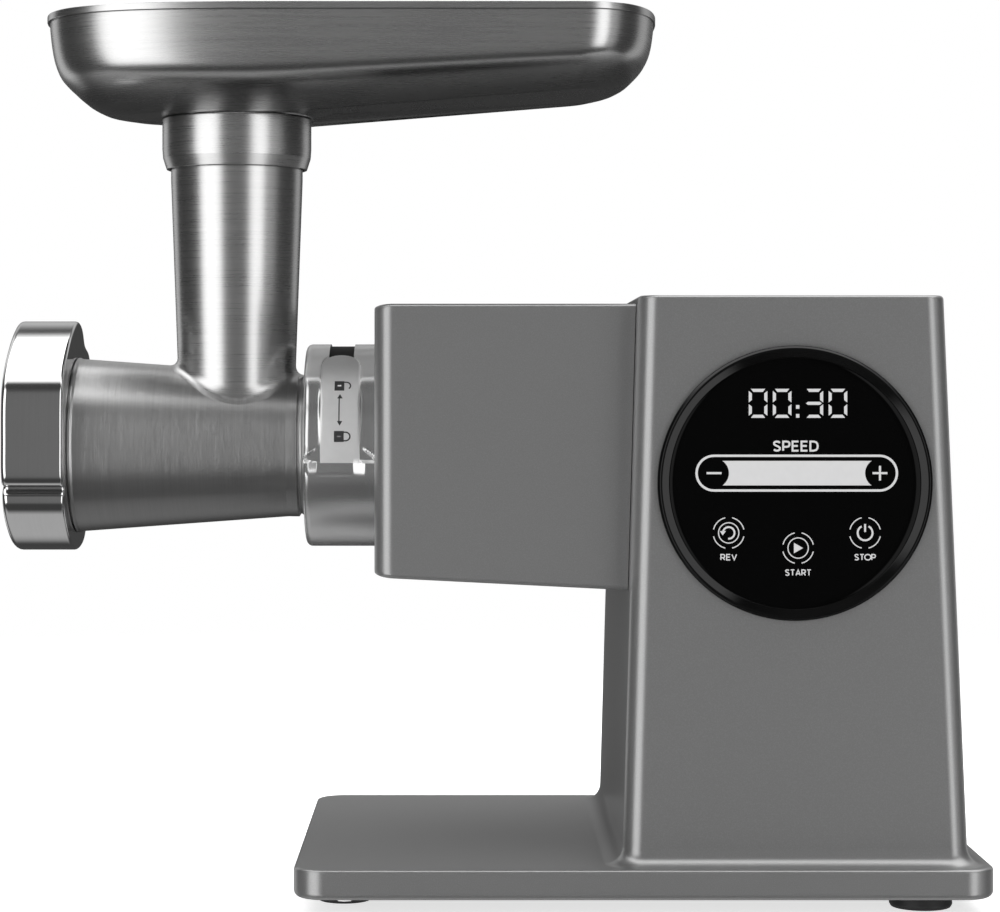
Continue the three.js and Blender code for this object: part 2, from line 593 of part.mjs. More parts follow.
function spurGear(teeth, module, toothAngle, x0, x1, at, bore) {
  const outline = gearOutline(teeth, module, toothAngle).map(([y, z]) => [y + at[0], z + at[1]]);
  const section = (x) => outline.map(([y, z]) => new THREE.Vector3(x, y, z));
  const middle = (x) => new THREE.Vector3(x, ...at);
  return loft([section(x0), section(x1)], middle(x0), middle(x1)).subtract(rod(bore, x0 - 1, x1 + 1, 'x', at, 14));
}

// Half a tooth pitch turns a tooth into a gap, so that meshing gears interleave on their centre line.
const halfPitch = (teeth) => 180 / teeth;

const PLANE_OUT = [-27, -11];       // output gear and the idler's pinion
const PLANE_IN = [-7, 4];           // idler gear and the motor's pinion

function outputShaft() {
  const body = turned([[0, -56.6], [11, -56.6], [12, -55.4], [12, -27.6], [8, -27.6], [8, 19], [0, 19]],
    'x', OUTPUT_AT, 28);
  return body.subtract(rod(7.5, -58, -37.4, 'x', OUTPUT_AT, 6));
}

// Case outline: two round chambers, one round each big gear, with their common tangents.
function caseOutline(outputRadius, idlerRadius) {
  const distance = Math.hypot(IDLER_AT[0] - OUTPUT_AT[0], IDLER_AT[1] - OUTPUT_AT[1]);
  const tangent = (Math.acos((outputRadius - idlerRadius) / distance) * 180) / Math.PI;
  const outline = [];
  const steps = 10;
  for (let k = 0; k <= steps; k += 1) {
    const angle = lerp(IDLER.angle + tangent, IDLER.angle + 360 - tangent, k / steps);
    outline.push(stepFrom(OUTPUT_AT, outputRadius, angle));
  }
  for (let k = 0; k <= steps; k += 1) {
    const angle = lerp(IDLER.angle - tangent, IDLER.angle + tangent, k / steps);
    outline.push(stepFrom(IDLER_AT, idlerRadius, angle));
  }
  return outline;
}

const CASE = { front: -34, back: 12, coverBack: 16.3 };

function gearboxHousing() {
  return cut(prismAlongX(caseOutline(40, 35.4), CASE.front, CASE.back), [
    prismAlongX(caseOutline(37.6, 33.4), CASE.front + 4, CASE.back + 1),
    rod(18.6, CASE.front - 1, CASE.front + 5, 'x', OUTPUT_AT, 20),
    rod(5.4, CASE.front - 1, CASE.front + 5, 'x', IDLER_AT, 16),
  ]);
}

function gearboxCover() {
  const plate = prismAlongX(caseOutline(40, 35.4), CASE.back + GAP, CASE.coverBack);
  const posts = [165, 270, 320].map((angle) => rod(3, CASE.coverBack - 1, MOTOR.front - GAP, 'x',
    stepFrom(MOTOR_AT, 27, angle), 10));
  return cut(join([plate, ...posts]), [
    rod(14.5, CASE.back - 1, CASE.coverBack + 1, 'x', OUTPUT_AT, 20),
    rod(5.4, CASE.back - 1, CASE.coverBack + 1, 'x', IDLER_AT, 16),
    rod(6, CASE.back - 1, CASE.coverBack + 1, 'x', MOTOR_AT, 16),
  ]);
}

addPart('gearbox_housing', gearboxHousing(), STEEL);
addPart('gearbox_cover', gearboxCover(), STEEL);
addPart('output_shaft', outputShaft(), STEEL);
addPart('output_gear', spurGear(OUTPUT.teeth, OUTPUT.module, IDLER.angle, ...PLANE_OUT, OUTPUT_AT, 8.3), STEEL);
addPart('output_bearing_front', ring(12.3, 18, -37.6, -28.6, 'x', OUTPUT_AT, 20), STEEL);
addPart('output_bearing_rear', ring(8.3, 14, 10.5, 18.5, 'x', OUTPUT_AT, 20), STEEL);
addPart('idler_shaft', rod(5, -33.6, 16, 'x', IDLER_AT, 16), STEEL);
addPart('idler_pinion', spurGear(IDLER.pinionTeeth, OUTPUT.module,
  IDLER.angle + 180 + halfPitch(IDLER.pinionTeeth), ...PLANE_OUT, IDLER_AT, 5.3), STEEL);
addPart('idler_gear', spurGear(IDLER.teeth, IDLER.module, MOTOR.angle, ...PLANE_IN, IDLER_AT, 5.3), NYLON);

// ---- Motor -----------------------------------------------------------------------------
function motorCan() {
  const { front, back, radius } = MOTOR;
  const profile = [[6, front], [radius - 2, front], [radius, front + 2], [radius, back], [radius - 2.2, back],
    [radius - 2.2, front + 2.6], [13, front + 2.6], [13, front + 10], [11, front + 10], [11, front + 2.6],
    [6, front + 2.6], [6, front]];
  return turned(profile, 'x', MOTOR_AT, 22);
}

function magnet(middleAngle) {
  const outline = [];
  const steps = 10;
  const spread = 62;
  for (let k = 0; k <= steps; k += 1) {
    outline.push(stepFrom([0, 0], 31.4, lerp(middleAngle - spread, middleAngle + spread, k / steps)));
  }
  for (let k = steps; k >= 0; k -= 1) {
    outline.push(stepFrom([0, 0], 27.4, lerp(middleAngle - spread, middleAngle + spread, k / steps)));
  }
  const shape = new THREE.Shape(outline.map(([y, z]) => new THREE.Vector2(y, z)));
  const slab = new THREE.ExtrudeGeometry(shape, { depth: 52, bevelEnabled: false });
  slab.rotateZ(Math.PI / 2).rotateY(Math.PI / 2).translate(34, ...MOTOR_AT);
  return solid(slab);
}

function armature() {
  const slots = 9;
  const outline = [];
  for (let k = 0; k < slots; k += 1) {
    for (const [angle, radius] of [[-17, 26.4], [-6, 26.4], [6, 26.4], [17, 26.4], [17.5, 20], [22.5, 20]]) {
      outline.push(stepFrom(MOTOR_AT, radius, (360 * k) / slots + angle));
    }
  }
  const at = (x) => outline.map(([y, z]) => new THREE.Vector3(x, y, z));
  return loft([at(36), at(82)]).subtract(rod(5.3, 35, 83, 'x', MOTOR_AT, 20));
}

function brush(side) {
  const [y, z] = MOTOR_AT;
  const [near, far] = [12.4, 22];
  return block(87, 94, y + (side < 0 ? -far : near), y + (side < 0 ? -near : far), z - 3, z + 3);
}

function motorShaft() {
  const profile = [[0, -9], [3.2, -9], [3.2, 18], [5, 18.6], [5, 120], [0, 120]];
  return turned(profile, 'x', MOTOR_AT, 20);
}

function coolingFan() {
  const blades = [];
  const count = 7;
  for (let k = 0; k < count; k += 1) {
    const blade = new THREE.BoxGeometry(11, 2, 22).rotateZ(degrees(28)).translate(0, 0, 18.5);
    blade.rotateX((2 * Math.PI * k) / count).translate(112, ...MOTOR_AT);
    blades.push(solid(blade));
  }
  return join([rod(9, 106, 118, 'x', MOTOR_AT, 20), ...blades]).subtract(rod(5.3, 105, 119, 'x', MOTOR_AT, 20));
}

addPart('motor_can', motorCan(), STEEL);
addPart('motor_end_cap', ring(11, MOTOR.radius, 96.3, 100.3, 'x', MOTOR_AT, 22), DARK_PLASTIC);
addPart('motor_bearing_front', ring(5.3, 10.7, 23, 29.6, 'x', MOTOR_AT, 14), STEEL);
addPart('motor_bearing_rear', ring(5.3, 10.7, 96.8, 103.4, 'x', MOTOR_AT, 14), STEEL);
addPart('magnet_upper', magnet(90), CARBON);
addPart('magnet_lower', magnet(270), CARBON);
addPart('armature', armature(), STEEL);
addPart('commutator', ring(5.3, 12, 86, 95, 'x', MOTOR_AT, 18), COPPER);
addPart('brush_front', brush(-1), CARBON);
addPart('brush_rear', brush(1), CARBON);
addPart('motor_shaft', motorShaft(), STEEL);
addPart('motor_pinion', spurGear(MOTOR.pinionTeeth, IDLER.module,
  MOTOR.angle + 180 + halfPitch(MOTOR.pinionTeeth), -8, 5, MOTOR_AT, 3.5), STEEL);
addPart('cooling_fan', coolingFan(), DARK_PLASTIC);

export default grinder;
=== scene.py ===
# %% [markdown]
# # An electric meat grinder, dressed for its portrait
#
# The machine is already designed: every shaft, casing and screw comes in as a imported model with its
# joints. This lesson gives it its looks. Outer skins are rebuilt with fine curves, each finish is made
# from shader nodes, and a small studio is set up around it. Nothing is moved: each new piece takes its
# place from the model it stands for.

# %% Load the frame
import json
import math

import bmesh
import bpy
import numpy as np
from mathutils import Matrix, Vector
from mathutils.bvhtree import BVHTree


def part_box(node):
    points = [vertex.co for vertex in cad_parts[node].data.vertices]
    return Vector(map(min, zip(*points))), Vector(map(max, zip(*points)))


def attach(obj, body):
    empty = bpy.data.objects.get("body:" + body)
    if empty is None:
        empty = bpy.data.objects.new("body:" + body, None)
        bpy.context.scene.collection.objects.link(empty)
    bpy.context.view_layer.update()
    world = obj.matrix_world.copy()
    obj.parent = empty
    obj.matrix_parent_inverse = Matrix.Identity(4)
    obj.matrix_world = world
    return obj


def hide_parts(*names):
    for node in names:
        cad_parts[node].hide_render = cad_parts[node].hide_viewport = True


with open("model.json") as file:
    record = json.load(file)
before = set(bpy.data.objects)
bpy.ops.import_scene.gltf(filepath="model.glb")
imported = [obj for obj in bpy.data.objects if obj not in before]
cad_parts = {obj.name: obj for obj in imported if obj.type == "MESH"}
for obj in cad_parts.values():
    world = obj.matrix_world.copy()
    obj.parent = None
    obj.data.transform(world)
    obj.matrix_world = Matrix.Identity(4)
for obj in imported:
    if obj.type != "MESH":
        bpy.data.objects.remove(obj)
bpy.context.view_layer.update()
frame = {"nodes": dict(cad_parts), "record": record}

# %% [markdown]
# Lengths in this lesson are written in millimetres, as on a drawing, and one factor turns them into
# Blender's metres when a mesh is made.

MM = 0.001

# %% [markdown]
# ## The camera
#
# A product portrait is taken from far off with a long lens, so that upright edges stay upright. The
# camera looks level along +Y at the height of the arm, and a little lens shift centres the machine
# without tilting. A tilt would make the column's sides lean, so shift is the better way.

# %% Camera
camera = bpy.data.objects.new("portrait_camera", bpy.data.cameras.new("portrait_camera"))
bpy.context.scene.collection.objects.link(camera)
camera.location = [v * MM for v in (-11.95, -1220, 209)]
camera.rotation_euler = (math.radians(90), 0, 0)
camera.data.lens = 100
camera.data.sensor_width = 36
camera.data.shift_x = 0.042
camera.data.shift_y = -0.059
bpy.context.scene.camera = camera
print("camera at", tuple(round(v, 3) for v in camera.location))

# %% [markdown]
# ## Measures taken from the frame
#
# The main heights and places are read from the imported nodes: the grinding axis from the plate, the
# column and base from the housing, the panel from its bezel. Shapes that a node's box doesn't show,
# such as a wall's thickness or the curve of a cam, are written as numbers with the piece they belong to.

# %% Measures
def low(node):
    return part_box(node)[0] / MM


def high(node):
    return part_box(node)[1] / MM


def middle(node):
    return (low(node) + high(node)) / 2


AXIS_Z = middle("grinding_plate").z
AXIS = (0, AXIS_Z)
HOUSING_LOW, HOUSING_HIGH = low("main_housing"), high("main_housing")
ARM_LOW, ARM_HIGH = low("arm_housing"), high("arm_housing")
GAP = 0.3                        # clearance between skins that meet
WALL = 3.0                       # thickness of the cast housing
BASE_TOP = 19.2                  # height of the base plate's upper face
TUBE_X = middle("tray_collar").x
PANEL = middle("control_bezel")
PANEL_AT = (PANEL.x, PANEL.z)
print("grinding axis at z", round(AXIS_Z, 1), "tube at x", round(TUBE_X, 1))

# %% [markdown]
# ## Shader maths as plain Python
#
# Node trees are long-winded to build by hand. One small class wraps a socket and lets the signs
# + - * work on it, so a roughness can be written as `0.26 + flakes * 0.12`. Colours and vectors never
# pass through a Math node, which would turn them grey: they go through Mix and Vector Math.

# %% The socket class
class Value:
    """One output of a node, which the arithmetic signs work on."""

    def __init__(self, finish, socket):
        self.finish, self.socket = finish, socket

    def _maths(self, operation, a, b):
        return self.finish.node("ShaderNodeMath", {"operation": operation}, [a, b])

    def __add__(self, other):
        return self._maths("ADD", self, other)

    def __sub__(self, other):
        return self._maths("SUBTRACT", self, other)

    def __rsub__(self, other):
        return self._maths("SUBTRACT", other, self)

    def __mul__(self, other):
        return self._maths("MULTIPLY", self, other)

    __radd__, __rmul__ = __add__, __mul__


# %% [markdown]
# A finish is a node tree with a few tools of its own: one that adds any node, and short names for the
# ones that come up again and again, such as a noise stretched along one axis or a smooth step.

# %% The finish class
class Finish:
    """A node tree, either a new material's or one that is given, such as the world's."""

    def __init__(self, name, tree=None):
        if tree is None:
            self.material = bpy.data.materials.new(name)
            self.material.use_nodes = True
            tree = self.material.node_tree
            self.surface = tree.nodes["Principled BSDF"]
        self.tree = tree

    def node(self, kind, settings=None, inputs=(), output=0):
        made = self.tree.nodes.new(kind)
        for key, value in (settings or {}).items():
            setattr(made, key, value)
        pairs = inputs.items() if isinstance(inputs, dict) else enumerate(inputs)
        for key, value in pairs:
            self.put(made.inputs[key], value)
        return Value(self, made.outputs[output])

    def put(self, socket, value):
        if isinstance(value, Value):
            self.tree.links.new(value.socket, socket)
        else:
            socket.default_value = value

    def place(self, stretch):
        """The piece's own coordinates, stretched so that grain can run in one direction."""
        at = self.node("ShaderNodeTexCoord", output="Object")
        return self.node("ShaderNodeVectorMath", {"operation": "MULTIPLY"}, [at, stretch])

    def noise(self, stretch, detail=2.0, roughness=0.5):
        return self.node("ShaderNodeTexNoise", {}, {"Vector": self.place(stretch), "Scale": 1.0,
                                                    "Detail": detail, "Roughness": roughness})

    def blend(self, amount, a, b):
        """From colour a to colour b; a Mix node keeps its colours on sockets 6 and 7."""
        return self.node("ShaderNodeMix", {"data_type": "RGBA"}, {0: amount, 6: a, 7: b}, output=2)

    def clamp(self, value):
        return self.node("ShaderNodeClamp", {}, [value, 0.0, 1.0])

    def ramp(self, value, start, end, first=0.0, last=1.0):
        """A smooth step from first to last, as the value goes from start to end."""
        return self.node("ShaderNodeMapRange", {"interpolation_type": "SMOOTHSTEP"},
                         [value, start, end, first, last])

    def upward(self):
        """How much a surface faces up: 1 on top, 0 where it is upright and -1 underneath."""
        normal = self.node("ShaderNodeNewGeometry", output="Normal")
        return self.node("ShaderNodeSeparateXYZ", {}, [normal], output=2)

    def bump(self, height, depth_mm):
        return self.node("ShaderNodeBump", {}, {"Height": height, "Distance": depth_mm * MM, "Strength": 1.0})

    def set(self, **values):
        for key, value in values.items():
            self.put(self.surface.inputs[key.replace("_", " ")], value)
        return self


def grey(level, warm=0.0):
    """A grey as a colour, a little warm or a little blue."""
    return (level * (1 + warm), level, level * (1 - warm), 1.0)


# %% [markdown]
# ## The finishes
#
# The casing is sprayed with a satin metallic paint: a dark grey with fine flakes that catch the light
# one by one, over a faint orange peel. Two noises do it, one at the size of the flakes and one at the
# size of the ripples. A flat grey would look like plastic.

# %% Sprayed paint
def sprayed_paint():
    f = Finish("sprayed_paint")
    flakes = f.noise((2600, 2600, 2600), 1.0)
    drift = f.noise((9, 9, 9), 2.0)
    colour = f.blend(f.clamp((flakes - 0.42) * 3.0), grey(0.275), grey(0.315, -0.004))
    colour = f.blend(drift * 0.25, colour, grey(0.285))
    ripple = f.noise((420, 420, 420), 2.0)
    relief = ripple * 0.35 + flakes * 0.65
    return f.set(Base_Color=colour, Metallic=0.72, Roughness=0.26 + flakes * 0.12,
                 Normal=f.bump(relief, 0.007), Coat_Weight=0.06, Coat_Roughness=0.35)


# %% [markdown]
# Brushed stainless steel gets its look from thousands of fine scratches that all run one way. Round the
# barrel they run round the axis, so the noise is squeezed along X; on the upright tube it is squeezed
# along Z. The scratches tilt the surface a little to each side, which smears each reflection across
# them. Anisotropic shading could do it with fewer nodes, but it needs a tangent and shows no grain.
# Where the steel faces the table its colour is darkened: a painted shade that stands for a dark cloth
# beneath it, since brushed metal gathers light from so wide a fan that a pale table would wash its
# underside out.

# %% Brushed steel
def brushed_steel(name, fine, coarse, level=0.58, scratch=0.012, rough=0.2, under=(0.62, 0.9)):
    f = Finish(name)
    grain = f.noise(fine, 3.0, 0.6)
    streak = f.noise(coarse, 2.0, 0.55)
    cloud = f.noise((14, 14, 14), 2.0)
    both = grain * 0.6 + streak * 0.4
    colour = f.blend(f.clamp((both - 0.3) * 2.2), grey(level * 0.82), grey(level, 0.004))
    # painted shade: faces that look down are darkened towards a near black grey
    below = f.ramp(f.upward() * -1.0, *under, last=0.6)
    colour = f.blend(below, colour, grey(level * 0.12))
    return f.set(Base_Color=colour, Metallic=1.0, Roughness=rough + both * 0.1 + cloud * 0.05,
                 Normal=f.bump(both, scratch))


# %% [markdown]
# Chrome and machined steel differ from it only in how much grain is left, so they share one recipe:
# a smooth metal with faint turning marks and a breath of unevenness in its gloss. On the satin plating
# of the lock ring light is painted on top: faces that look up are blended to a pale grey and made less
# metallic, where the tray above would otherwise leave them black.

# %% Smooth metals
def smooth_metal(name, level, rough, marks, depth, metallic=1.0, tint=None, painted_light_up=0.0):
    f = Finish(name)
    turned = f.noise(marks, 2.0)
    haze = f.noise((60, 60, 60), 3.0)
    bright = tint or grey(level)
    dull = tuple(c * 0.86 for c in bright[:3]) + (1.0,)
    colour = f.blend(f.clamp(turned * 0.6 + haze * 0.4), bright, dull)
    # painted light: faces that look up are blended to a pale grey and made less metallic
    if painted_light_up:
        lit = f.ramp(f.upward(), 0.3, 0.85)
        colour = f.blend(lit, colour, grey(0.85))
        metallic = metallic - lit * painted_light_up
    return f.set(Base_Color=colour, Metallic=metallic, Roughness=rough + haze * rough * 0.5,
                 Normal=f.bump(turned, depth))


# %% [markdown]
# A casting that was never polished shows the sand of its mould: small pits that scatter the light, and
# broad clouds where the skin cooled unevenly.

# %% Cast metal
def cast_metal(name, level, rough, grain=0.05):
    f = Finish(name)
    pits = f.noise((900, 900, 900), 4.0, 0.7)
    cloud = f.noise((70, 70, 70), 2.0)
    colour = f.blend(f.clamp(cloud * 1.1), grey(level * 0.8), grey(level, 0.01))
    return f.set(Base_Color=colour, Metallic=0.92, Roughness=rough + pits * 0.14,
                 Normal=f.bump(pits, grain))


# %% [markdown]
# Moulded plastic and rubber carry the texture of their moulds: a fine spark-eroded grain. The same
# recipe serves nylon, carbon and the boards, with their own colour, gloss and grain size.

# %% Moulded materials
def moulded(name, colour, rough, grain=1500, depth=0.012, metallic=0.0, fleck=0.12):
    f = Finish(name)
    erosion = f.noise((grain, grain, grain), 3.0, 0.6)
    cloud = f.noise((50, 50, 50), 2.0)
    light = tuple(min(1.0, c * (1 + fleck)) for c in colour) + (1.0,)
    dark = tuple(c * (1 - fleck) for c in colour) + (1.0,)
    shade = f.blend(f.clamp(erosion * 0.5 + cloud * 0.5), dark, light)
    return f.set(Base_Color=shade, Metallic=metallic, Roughness=rough + (erosion - 0.5) * 0.12,
                 Normal=f.bump(erosion, depth))


# %% [markdown]
# Black lacquer and black glass are so smooth that only a dust-fine haze breaks the mirror. The symbols
# behind the glass are pale print lit from the back, a touch uneven as light guides are.

# %% Gloss black and lit print
def lacquered(name, level, rough, gloss):
    f = Finish(name)
    haze = f.noise((120, 120, 120), 3.0)
    colour = f.blend(haze, grey(level), grey(level * 1.3, -0.03))
    return f.set(Base_Color=colour, Roughness=rough + haze * 0.03, Specular_IOR_Level=gloss,
                 Normal=f.bump(haze, 0.002))


def lit_print():
    f = Finish("lit_print")
    glow = f.noise((300, 300, 300), 1.0)
    colour = f.blend(glow, (0.50, 0.50, 0.505, 1.0), (0.56, 0.56, 0.565, 1.0))
    return f.set(Base_Color=grey(0.2), Emission_Color=colour, Emission_Strength=0.78, Roughness=0.5)


# %% [markdown]
# Each slot of the record gets one finish. Five more are for places where one piece wears two: the
# barrel's brushing runs the other way, and the ring and the panel carry print.

# %% The set of finishes
FINISHES = {
    "housing_paint": sprayed_paint(),
    "dark_plastic": moulded("dark_plastic", (0.022, 0.022, 0.024), 0.48),
    "gloss_black": lacquered("gloss_black", 0.0015, rough=0.07, gloss=0.26),
    "panel_glass": lacquered("panel_glass", 0.001, rough=0.05, gloss=0.07),
    "brushed_steel": brushed_steel("brushed_steel", fine=(60, 60, 5200), coarse=(20, 20, 900)),
    "polished_chrome": smooth_metal("polished_chrome", 0.74, 0.085, (2400, 30, 30), 0.0012),
    # the lock ring's satin chrome gets painted light on the faces that look up
    "satin_chrome": smooth_metal("satin_chrome", 0.6, 0.2, (2600, 60, 60), 0.003, metallic=0.9,
                                 painted_light_up=0.55),
    "machined_steel": smooth_metal("machined_steel", 0.5, 0.24, (2400, 120, 120), 0.004),
    "cast_steel": cast_metal("cast_steel", 0.42, 0.36),
    "cast_aluminium": cast_metal("cast_aluminium", 0.5, 0.5, 0.08),
    "white_nylon": moulded("white_nylon", (0.72, 0.70, 0.62), 0.42),
    "circuit_board": moulded("circuit_board", (0.012, 0.11, 0.05), 0.38, 2200, 0.02, fleck=0.3),
    "dark_carbon": moulded("dark_carbon", (0.03, 0.03, 0.032), 0.62, 2500, 0.02, 0.2),
    "copper": smooth_metal("copper", 0.6, 0.25, (2400, 120, 120), 0.004, tint=(0.78, 0.34, 0.18, 1.0)),
    "soft_rubber": moulded("soft_rubber", (0.018, 0.018, 0.019), 0.6, 1100, 0.02),
}
# the barrel's painted shade underneath starts on faces that lean down less than on the tray
BARREL_STEEL = brushed_steel("barrel_steel", fine=(5200, 60, 60), coarse=(900, 24, 24), level=0.56,
                             scratch=0.075, rough=0.26, under=(0.44, 0.62))
LIT_PRINT = lit_print()
RING_PRINT = moulded("ring_print", (0.03, 0.03, 0.031), 0.5)
PAD_SATIN = smooth_metal("pad_satin", 0.78, 0.42, (300, 300, 300), 0.002, metallic=0.55)
WINDOW_BLACK = moulded("window_black", (0.002, 0.002, 0.002), 0.7, depth=0.004)
print(len(FINISHES), "finishes for the record's slots, and five more")

# %% [markdown]
# ## Mesh tools
#
# A turned or drawn skin is a stack of outlines joined by quads. One function makes it from rows of
# points, and the lathe and the lofts feed it.

# %% Skins from rows of points
def skin(rows, close_along=False, caps=True):
    """A mesh from rows of points in millimetres; rows join along, and each row closes on itself."""
    bm = bmesh.new()
    grid = [[bm.verts.new(Vector(p) * MM) for p in row] for row in rows]
    count = len(grid[0])
    row_pairs = list(zip(grid, grid[1:])) + ([(grid[-1], grid[0])] if close_along else [])
    for a, b in row_pairs:
        for k in range(count):
            n = (k + 1) % count
            bm.faces.new((a[k], a[n], b[n], b[k]))
    if caps and not close_along:
        bm.faces.new(list(reversed(grid[0])))
        bm.faces.new(grid[-1])
    bmesh.ops.remove_doubles(bm, verts=bm.verts, dist=1e-7)
    bmesh.ops.recalc_face_normals(bm, faces=bm.faces)
    mesh = bpy.data.meshes.new("skin")
    bm.to_mesh(mesh)
    bm.free()
    return mesh


# %% [markdown]
# Edges are rounded in the mesh itself, because the thin highlight along an edge is what makes metal
# look solid. A polygon's corners become small curves, each with its own radius, and the edge of a stack
# of outlines follows a quarter circle from one outline to the next.

# %% Rounded corners
def soften(points, radii, steps=5):
    """A closed polygon with each corner turned into a curve that fits its radius."""
    count = len(points)
    out = []
    for k, point in enumerate(points):
        p = Vector(point)
        if radii[k] <= 0:
            out.append(tuple(p))
            continue
        before, after = Vector(points[k - 1]) - p, Vector(points[(k + 1) % count]) - p
        turn = before.angle(after)
        reach = min(radii[k] / math.tan(turn / 2), before.length * 0.48, after.length * 0.48)
        start, end = p + before.normalized() * reach, p + after.normalized() * reach
        for step in range(steps + 1):
            t = step / steps
            out.append(tuple((1 - t) ** 2 * start + 2 * t * (1 - t) * p + t * t * end))
    return out


def bend(start, knee, end, steps):
    """Points on a curve that leaves start towards the knee and arrives at end."""
    shares = [step / steps for step in range(steps + 1)]
    return [tuple((1 - t) ** 2 * a + 2 * t * (1 - t) * b + t * t * c for a, b, c in zip(start, knee, end))
            for t in shares]


def quarter(steps):
    """A quarter circle of radius 1 as (run, drop): the run grows from 0 to 1 as the drop falls to 0."""
    angles = [math.radians(90 * k / steps) for k in range(steps + 1)]
    return [(1 - math.cos(a), 1 - math.sin(a)) for a in angles]


def rounded_rectangle(u0, u1, v0, v1, radius, steps=8):
    points = []
    for u, v, start in ((u1 - radius, v1 - radius, 0), (u0 + radius, v1 - radius, 90),
                        (u0 + radius, v0 + radius, 180), (u1 - radius, v0 + radius, 270)):
        for k in range(steps + 1):
            angle = math.radians(start + 90 * k / steps)
            points.append((u + radius * math.cos(angle), v + radius * math.sin(angle)))
    return points


# %% [markdown]
# Most round pieces are turned on a lathe: a profile of radius and place along the axis is swept once
# round. A bore is the plainest of them, and a prism is a flat outline pushed straight along an axis.

# %% Turned and straight solids
def around(axis, at, radius, along, angle):
    """A point at an angle round an axis through `at`; angles start at the top, or at +X for the Z axis."""
    c, s = math.cos(angle), math.sin(angle)
    if axis == "x":
        return (along, at[0] - radius * s, at[1] + radius * c)
    if axis == "y":
        return (at[0] + radius * s, along, at[1] + radius * c)
    return (at[0] + radius * c, at[1] + radius * s, along)


def lathe(profile, axis, at, segments=96):
    """A turned solid from a closed profile of (radius, distance along the axis)."""
    on_axis = min(radius for radius, _ in profile) < 1e-6
    rows = [[around(axis, at, radius, along, 2 * math.pi * k / segments) for k in range(segments)]
            for radius, along in profile]
    return skin(rows, close_along=not on_axis, caps=False)


def turned(profile, axis, at, segments=96):
    """A turned solid from rows of radius, place along the axis, and how far that corner is rounded."""
    corners = [(radius, along) for radius, along, _ in profile]
    return lathe(soften(corners, [soft for *_, soft in profile]), axis, at, segments)


def bore(axis, at, radius, start, end, segments=96):
    return lathe([(0, start), (radius, start), (radius, end), (0, end)], axis, at, segments)


def prism(axis, outline, start, end):
    """A flat outline pushed along the X or the Y axis."""
    order = {"x": lambda u, v, w: (w, u, v), "y": lambda u, v, w: (u, w, v)}[axis]
    return skin([[order(u, v, w) for u, v in outline] for w in (start, end)])


# %% [markdown]
# Cuts and joins are done with the Boolean modifier's manifold solver, which is fast and keeps closed
# meshes closed. The result is read back from the evaluated object, so no modifier is left behind.

# %% Joins, cuts and placing
def combine(mesh, tools, operation):
    host = bpy.data.objects.new("host", mesh)
    bpy.context.scene.collection.objects.link(host)
    helpers = []
    for tool in tools:
        helper = bpy.data.objects.new("tool", tool)
        bpy.context.scene.collection.objects.link(helper)
        helpers.append(helper)
        modifier = host.modifiers.new("boolean", "BOOLEAN")
        modifier.operation, modifier.solver, modifier.object = operation, "MANIFOLD", helper
    result = bpy.data.meshes.new_from_object(host.evaluated_get(bpy.context.evaluated_depsgraph_get()))
    for extra in [host, *helpers]:
        bpy.data.objects.remove(extra)
    return result


def cut(mesh, *tools):
    return combine(mesh, tools, "DIFFERENCE")


def join(mesh, *tools):
    return combine(mesh, tools, "UNION")


def smooth(item, angle):
    """Smooth shading that stops at real edges, with large faces kept flat."""
    item.data.polygons.foreach_set("use_smooth", [True] * len(item.data.polygons))
    item.data.set_sharp_from_angle(angle=math.radians(angle))
    weights = item.modifiers.new("flat_faces", "WEIGHTED_NORMAL")
    weights.keep_sharp = True


def place(name, mesh, body, slot, stands_for=(), finish=None, angle=32):
    """Puts a finished mesh in the scene as a piece of the machine."""
    piece = bpy.data.objects.new(name, mesh)
    bpy.context.scene.collection.objects.link(piece)
    mesh.materials.clear()
    mesh.materials.append((finish or FINISHES[slot]).material)
    smooth(piece, angle)
    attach(piece, body)
    if stands_for:
        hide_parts(*stands_for)
    print(f"{name}: {len(mesh.polygons)} faces")
    return piece


def merged(*meshes):
    """Several closed meshes as one mesh, each still whole."""
    bm = bmesh.new()
    for mesh in meshes:
        bm.from_mesh(mesh)
    out = bpy.data.meshes.new("merged")
    bm.to_mesh(out)
    bm.free()
    return out


def repaint(piece, finish, wanted):
    """Gives a further finish to the faces that a test picks by their centre, in millimetres."""
    piece.data.materials.append(finish.material)
    index = len(piece.data.materials) - 1
    faces = [face for face in piece.data.polygons if wanted(face.center / MM)]
    for face in faces:
        face.material_index = index
    print(f"{piece.name}: {len(faces)} faces in {finish.material.name}")


# %% [markdown]
# ## The casing
#
# The column is a tall box that leans in towards its top, with generous upright corners, and it runs
# out into the base plate through a fillet. Stacked outlines give the lean, the fillet and the small
# top radius in one go. The real casing is hollow, so the inside is cut out as well, with the openings
# for the panel, the arm and the rear cover.

# %% Casing outlines
COLUMN = {"foot": (54.8, 195.4), "top": (61.3, 185.5), "half": 97.5, "corner": 8.3, "fillet": 7.6,
          "edge": 1.6}
BASE = {"corner": 13, "lower_edge": 2.8, "upper_edge": 1.5}
COLUMN_TOP = HOUSING_HIGH.z
UNDERSIDE = HOUSING_LOW.z


def column_row(z, grow, rear=None):
    t = (z - BASE_TOP) / (COLUMN_TOP - BASE_TOP)
    left, right = (a + (b - a) * t for a, b in zip(COLUMN["foot"], COLUMN["top"]))
    back = COLUMN["half"] + (grow if rear is None else rear)
    corner = max(COLUMN["corner"] + grow, 2)
    outline = rounded_rectangle(left - grow, right + grow, -COLUMN["half"] - grow, back, corner, 10)
    return [(x, y, z) for x, y in outline]


def column_solid(grow=0.0):
    fillet, edge = COLUMN["fillet"], COLUMN["edge"]
    rows = [column_row(BASE_TOP - WALL, fillet + grow)]
    rows += [column_row(BASE_TOP + fillet * run, fillet * drop + grow) for run, drop in quarter(10)]
    rows += [column_row(COLUMN_TOP - edge * drop, grow - edge * run) for run, drop in quarter(5)]
    return skin(rows)


